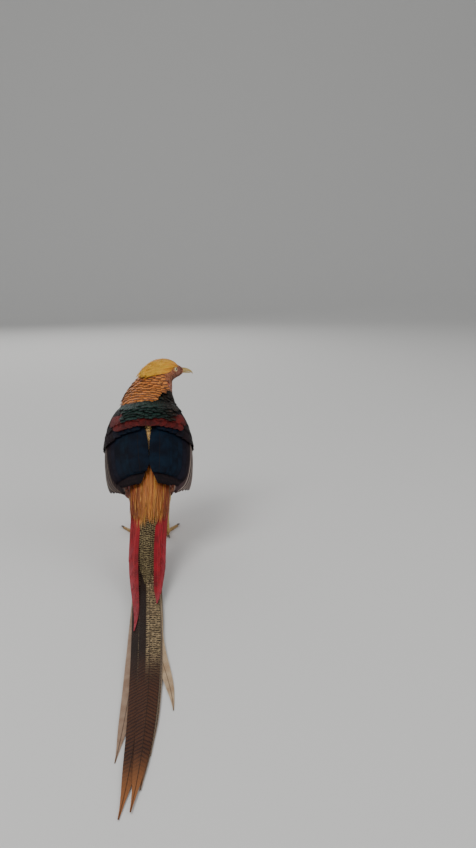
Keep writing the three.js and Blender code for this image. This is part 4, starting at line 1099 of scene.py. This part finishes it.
def tube(rings):
    """A closed tube through rings of points."""
    n, k = rings.shape[:2]
    points = np.concatenate([rings.reshape(-1, 3), rings[0].mean(0)[None], rings[-1].mean(0)[None]])
    faces = quads(n, k)
    faces += [(n * k, (j + 1) % k, j) for j in range(k)]
    faces += [(n * k + 1, (n - 1) * k + j, (n - 1) * k + (j + 1) % k) for j in range(k)]
    return points, faces


def grid_tube(surface, u0, u1, steps, sides, height, floor=-np.inf):
    """A closed tube at a height over a surface, and nowhere lower than floor."""
    u, v = grid(np.linspace(u0, u1, steps), all_round(sides, 360))
    points = surface.at(u, v, height(u, v))
    points[..., 2] = np.maximum(points[..., 2], floor)
    return tube(points)


def object_of(name, parts, material=None):
    """One object from closed bodies, each given as points and faces and turned to face outwards."""
    points, faces, offset = [], [], 0
    for p, f in parts:
        corners = [(p[x[0]], p[x[i]], p[x[i + 1]]) for x in f for i in range(1, len(x) - 1)]
        a, b, c = (np.array([q[k] for q in corners]) for k in range(3))
        volume = np.sum(a * np.cross(b, c))
        faces += [tuple(i + offset for i in (x if volume > 0 else x[::-1])) for x in f]
        points.append(p)
        offset += len(p)
    mesh = bpy.data.meshes.new(name)
    mesh.from_pydata(to_frame(np.concatenate(points)).tolist(), [], faces)
    mesh.polygons.foreach_set("use_smooth", np.ones(len(faces), bool))
    if material:
        mesh.materials.append(material)
    return linked(name, mesh)


SKIN_VOXEL = 0.0016


def skin_depth(u, v):
    """How far the skin lies inside the solids."""
    head = lerp(2.6, 1.0, smooth((u - 7.8) / 1.6))
    return -lerp(3.4, head, smooth((u - 6.2) / 1.2)) * smooth((12.4 - u) / 1.2)


def thigh_depth(u, v):
    return -np.minimum(2.6, 0.3 * spline(THIGH_RADII, u))


def wing_arm(side):
    """The wing's bony part, under the coverts."""
    u, v = grid(np.linspace(2.9, 5.1, 12), side * np.linspace(34, 104, 14))
    top, under = WING.at(u, v, np.full(u.shape, 2.2)), WING.at(u, v, np.full(u.shape, -5.0))
    return tube(np.concatenate([top, under[:, ::-1]], 1))


def applied(obj):
    """The object's mesh with its modifiers applied."""
    mesh = bpy.data.meshes.new_from_object(obj.evaluated_get(bpy.context.evaluated_depsgraph_get()))
    obj.modifiers.clear()
    obj.data = mesh
    return obj


def make_skin():
    parts = [grid_tube(BODY, 0.0, BILL_BASE, 90, 64, skin_depth)]
    parts += [grid_tube(thigh, 0.4, 4.0, 24, 24, thigh_depth) for thigh in THIGHS.values()]
    parts += [wing_arm(side) for side in SIDES.values()]
    skin = object_of("skin", parts)
    remesh = skin.modifiers.new("remesh", "REMESH")
    remesh.mode, remesh.voxel_size, remesh.use_smooth_shade = "VOXEL", SKIN_VOXEL, True
    relax = skin.modifiers.new("relax", "SMOOTH")
    relax.iterations, relax.factor = 6, 0.5
    return applied(skin)


def skin_paint():
    p = Paint("skin", roughness=0.6, Subsurface_Weight=0.05, Sheen_Weight=0.15)
    fine = p.noise(p.place(), 900.0, 3.0)
    base = p.attribute("tint", "Color")
    return p.done(p.mix(p.step(fine, 0.35, 0.7), p.tinted(base, (0.45, 0.38, 0.36)), base), fine, 0.0004)


def tint_from_coat(obj):
    """Gives a mesh the base colour of the coat's nearest root."""
    roots = np.concatenate([r for r, _ in COAT])
    colours = np.concatenate([c for _, c in COAT])
    tree = kdtree.KDTree(len(roots))
    for i, r in enumerate(to_frame(roots)):
        tree.insert(r, i)
    tree.balance()
    found = colours[[tree.find(v.co)[1] for v in obj.data.vertices]]
    give(obj.data, "tint", "FLOAT_COLOR", "color", np.concatenate([found, np.ones((len(found), 1))], 1))


skin = make_skin()
tint_from_coat(skin)
skin.data.materials.append(skin_paint())
placed(skin, "scarlet_plumage", "torso", "neck", "head", "thigh_left", "thigh_right")

# Eyes, lids, bill.


def ball(centre, radius, out):
    """A ball with its pole along out, so that a polar angle can colour it."""
    side = unit(np.cross(out, (0, 0, 1.0)))
    over = np.cross(out, side)
    a, b = grid(np.linspace(0.02, math.pi - 0.02, 24), all_round(32))
    direction = (out * np.cos(a)[..., None] + side * (np.sin(a) * np.cos(b))[..., None]
                 + over * (np.sin(a) * np.sin(b))[..., None])
    return tube(centre + radius * direction)


def eye_paint(name, centre, out):
    p = Paint(name, roughness=0.06, Coat_Weight=1.0, Coat_Roughness=0.02)
    # facing is 1 at the pupil's middle and falls outwards, over the iris and the dark rim.
    away = p.vector("SUBTRACT", p.place(), tuple(to_frame(centre)))
    facing = p.vector("DOT_PRODUCT", p.vector("NORMALIZE", away), tuple(out), 1)
    iris = p.mix(p.step(facing, 0.80, 0.72), p.mix(p.noise(away, 2600.0, 3.0), "d8c070", "f0e4a8"), "6a4c1c")
    p.set("Base Color", p.mix(p.step(facing, 0.905, 0.925), iris, (0.003, 0.003, 0.003)))
    return p.material


def lid_paint():
    p = Paint("lid_skin", roughness=0.5)
    fine = p.noise(p.place(), 1800.0, 3.0)
    return p.done(p.mix(fine, "c08a5c", "d8b080"), fine, 0.0002)


def lid(side):
    """A rim round the eye, wider at its two corners, lying on the ball and running out onto the skin. inner
    is the polar angle of its inner edge, in degrees."""
    centre, out = eye_at(side)
    station, angle = EYE["station"], side * EYE["angle"]
    along = BODY.at(station + 0.2, angle) - BODY.at(station, angle)
    ahead = unit(along - out * np.dot(along, out))
    up = np.cross(out, ahead) * side
    rings = []
    for b in all_round(40):
        way = ahead * math.cos(b) + up * math.sin(b)
        inner = 44 + 7 * math.cos(b) ** 2 - 5 * max(0, math.sin(b))
        section = []
        for c in all_round(10):
            polar = math.radians(inner + 13 + 13 * math.cos(c))
            rise = EYE["radius"] + 0.12 + 0.42 * math.sin(c)
            section.append(centre + rise * (out * math.cos(polar) + way * math.sin(polar)))
        rings.append(section)
    rings = np.array(rings)
    return rings.reshape(-1, 3), quads(*rings.shape[:2], closed=True)


for side_name, side in SIDES.items():
    centre, out = eye_at(side)
    eye = object_of(f"eyeball_{side_name}", [ball(centre, EYE["radius"], out)],
                    eye_paint(f"eye_{side_name}", centre, out))
    placed(eye, "eye", f"eye_{side_name}")
placed(object_of("eyelids", [lid(side) for side in SIDES.values()], lid_paint()), "face_plumage")

UPPER_BILL = np.array([[-2.5, 5.4, 5.6, 0], [3, 5.2, 5.7, 0], [6, 4.8, 5.6, 0.1], [12, 3.8, 5.0, 0.4],
                       [18, 2.5, 3.9, 1.1], [22.5, 1.4, 2.7, 2.4], [25.5, 0.45, 1.1, 4.6]])
LOWER_BILL = np.array([[-2.5, 5.0, 3.4, 0], [3, 4.9, 3.3, 0], [7, 4.3, 3.1, 0.1], [14, 3.0, 2.4, 0.6],
                       [19.5, 1.3, 1.3, 1.5]])
MOUTH_GAP = 0.2


def in_bill(x, y, z):
    s = spline(STATIONS, np.array(BILL_BASE))
    ahead, left, back = axes_of(s[3], s[4])
    x, y, z = (np.asarray(k)[..., None] for k in (x, y, z))
    return s[:3] + x * ahead + y * left + z * back


def bill_half(stations, up):
    u, a = grid(np.linspace(0, len(stations) - 1, 40), np.linspace(0, math.pi, 25))
    s = spline(stations, u)
    x, wide, high, drop = (s[..., k] for k in range(4))
    ridge = 1 + 0.06 * np.maximum(0, np.sin(a)) ** 8
    # The nostril's hollow lies low on each side, under a swollen flap.
    pit = np.exp(-(((x - 6.4) / 1.7) ** 2 + ((np.abs(np.cos(a)) - 0.8) / 0.12) ** 2)) if up > 0 else 0
    shrink = 1 - 0.22 * pit
    rise = MOUTH_GAP + high * np.sin(a) * ridge * shrink
    return tube(in_bill(x, wide * np.cos(a) * shrink, up * rise - drop))


def horn_paint(name, base, tip, low, high):
    """Horn that darkens between two heights above the floor, in metres."""
    p = Paint(name, roughness=0.34, Coat_Weight=0.2)
    grain = p.noise(p.place(), 600.0, 4.0)
    colour = p.mix(p.step(grain, 0.3, 0.75), base, tip)
    colour = p.mix(p.step(p.parts(p.place())[2], low, high), colour, p.tinted(colour, (0.7, 0.62, 0.5)))
    return p.done(colour, grain, 0.00025)


bill_paint = horn_paint("bill_horn", "c8ac68", "a98b4c", 0.262, 0.272)
for piece_name, stations, up in (("bill_upper", UPPER_BILL, 1), ("bill_lower", LOWER_BILL, -1)):
    bill = object_of(f"{piece_name}_horn", [bill_half(stations, up)], bill_paint)
    placed(bill, "bill", piece_name)

# Legs and feet: scutes down the front of shank and toes, pads pressed flat on the floor, and claws.
SHANK = [at_hock(-2), at_hock(4.5), (28.6, 32, 63), (27.6, 17, 34),
         (ANKLE[0], ANKLE[1] + 0.3, ANKLE[2] - 1.5)]
SHANK_RADII = [4.9, 5.2, 3.9, 3.4, 4.4]
SPUR = [(27.4, 19.5, 39.4), (25.8, 27.5, 40.5), (24.8, 33, 43)]
SPUR_RADII = [2.4, 1.6, 0.3]
TOES = {"inner": (-26, 34, 3.6), "middle": (4, 44, 3.9), "outer": (30, 36, 3.5), "hind": (172, 17, 3.0)}
PAD = [(4, 7, 2.6), (4, 3.5, 3.6), (4, 0, 4.4), (172, 4, 3.6), (172, 7, 2.6)]
PAD_RADII = [2.0, 5.4, 6.6, 5.0, 1.6]
FLAT = 0.9  # how much of a toe's underside is pressed flat


def foot_point(turn, reach, z):
    a = math.radians(turn)
    return (ANKLE[0] + math.sin(a) * reach, ANKLE[1] - 4 - math.cos(a) * reach, z)


def scaled_tube(path, radii, side, steps, sides, scutes, depth, floor=-np.inf):
    """A limb with overlapping scutes: its radius falls off towards each scute's lower rim."""
    last = len(path) - 1

    def height(u, v):
        phase = (u / last * scutes + 0.5 * (np.abs((v % 180) - 90) > 60)) % 1.0
        return depth * (smooth(phase / 0.75) - 0.6 * (phase > 0.86))

    surface = Surface(tube_bare(path, np.asarray(radii, float), side), 0.02)
    return grid_tube(surface, 0, last, steps, sides, height, floor)


def leg_parts(side):
    yield scaled_tube(SHANK, SHANK_RADII, side, 150, 28, 22, 0.3)
    yield scaled_tube(SPUR, SPUR_RADII, side, 16, 14, 3, 0.0)
    for turn, length, radius in TOES.values():
        count = 5 if turn > 90 else 7
        t = np.linspace(0, 1, count)
        swell = np.where(np.arange(count) % 2, 1.0, 0.86)
        radii = radius * lerp(1.08, 0.66, t) * swell
        path = [foot_point(turn, -1 + (length + 3) * k, radius * lerp(1.08, 0.66, k) - FLAT) for k in t]
        yield scaled_tube(path, radii, side, 70, 20, 3 * count, 0.28, 0.0)
    yield scaled_tube([foot_point(*at) for at in PAD], PAD_RADII, side, 24, 20, 6, 0.2, 0.0)


def claw_parts(side):
    for turn, length, radius in TOES.values():
        long = 9 + length * 0.06
        height = lambda t: lerp(radius * 0.66 - FLAT + 0.5, 0.75, t) + 1.5 * math.sin(math.pi * t)
        path = [foot_point(turn, 1.0 + length + long * t, height(t)) for t in (0, 0.35, 0.7, 1)]
        base = radius * 0.6
        yield scaled_tube(path, [base, base * 0.8, base * 0.5, 0.3], side, 22, 14, 4, 0.0, 0.0)


def leg_paint():
    p = Paint("leg_scales", roughness=0.45, Coat_Weight=0.1)
    cells = p.node("TexVoronoi", {"Vector": p.place(), "Scale": 620.0})
    colour = p.mix(p.noise(p.place(), 260.0, 3.0), "b8954a", "d0b268")
    colour = p.mix(p.step(p.parts(p.place())[2], 0.012, 0.0), colour, "a07c48")
    colour = p.mix(p.step(cells, 0.35, 0.75), colour, p.tinted(colour, (0.62, 0.56, 0.48)))
    return p.done(colour, p.times(cells, -1.0), 0.0003)


leg_material = leg_paint()
claw_material = horn_paint("claw_horn", "5a452e", "3a2a1c", 0.0, 0.006)
for side_name, side in SIDES.items():
    leg = object_of(f"leg_{side_name}", leg_parts(side), leg_material)
    claws = object_of(f"claws_{side_name}", claw_parts(side), claw_material)
    placed(leg, "leg_skin", f"shank_{side_name}", f"foot_{side_name}")
    placed(claws, "claw", *(f"claw_{which}_{side_name}" for which in TOES))

# Stage and light, in metres and watts.
FLOOR_FRONT, FLOOR_BACK, FLOOR_HALF = 6.0, -4.0, 9.0
WALL_ROUND, WALL_TOP = 2.0, 9.0
SKY, SKY_STRENGTH = (0.86, 0.88, 0.9, 1.0), 0.45


def sweep():
    """A pale floor that curves up into a wall behind the bird."""
    line = [(FLOOR_FRONT, 0.0), (FLOOR_BACK, 0.0)]
    line += [(FLOOR_BACK - WALL_ROUND * math.sin(a), WALL_ROUND - WALL_ROUND * math.cos(a))
             for a in np.linspace(0.1, math.pi / 2, 12)]
    line.append((FLOOR_BACK - WALL_ROUND, WALL_TOP))
    mesh = bpy.data.meshes.new("floor")
    points = [(x, y, z) for y, z in line for x in (-FLOOR_HALF, FLOOR_HALF)]
    mesh.from_pydata(points, [], [(2 * i, 2 * i + 1, 2 * i + 3, 2 * i + 2) for i in range(len(line) - 1)])
    mesh.polygons.foreach_set("use_smooth", np.ones(len(line) - 1, bool))
    p = Paint("floor", roughness=0.8)
    p.set("Base Color", (0.72, 0.71, 0.69, 1.0))
    mesh.materials.append(p.material)
    linked("floor", mesh)


def area_light(name, at, size, power):
    light = bpy.data.lights.new(name, "AREA")
    light.size, light.energy = size, power
    obj = linked(name, light)
    obj.location = at
    obj.rotation_mode = "QUATERNION"
    obj.rotation_quaternion = (TARGET - Vector(at)).to_track_quat("-Z", "Y")


sweep()
area_light("key", (1.3, 1.2, 2.4), 1.6, 46)
area_light("fill", (-2.2, 0.9, 1.2), 2.2, 20)
area_light("front", (0.6, -3.0, 1.8), 2.4, 30)
world = bpy.data.worlds.new("world")
world.use_nodes = True
world.node_tree.nodes["Background"].inputs[0].default_value = SKY
world.node_tree.nodes["Background"].inputs[1].default_value = SKY_STRENGTH
bpy.context.scene.world = world
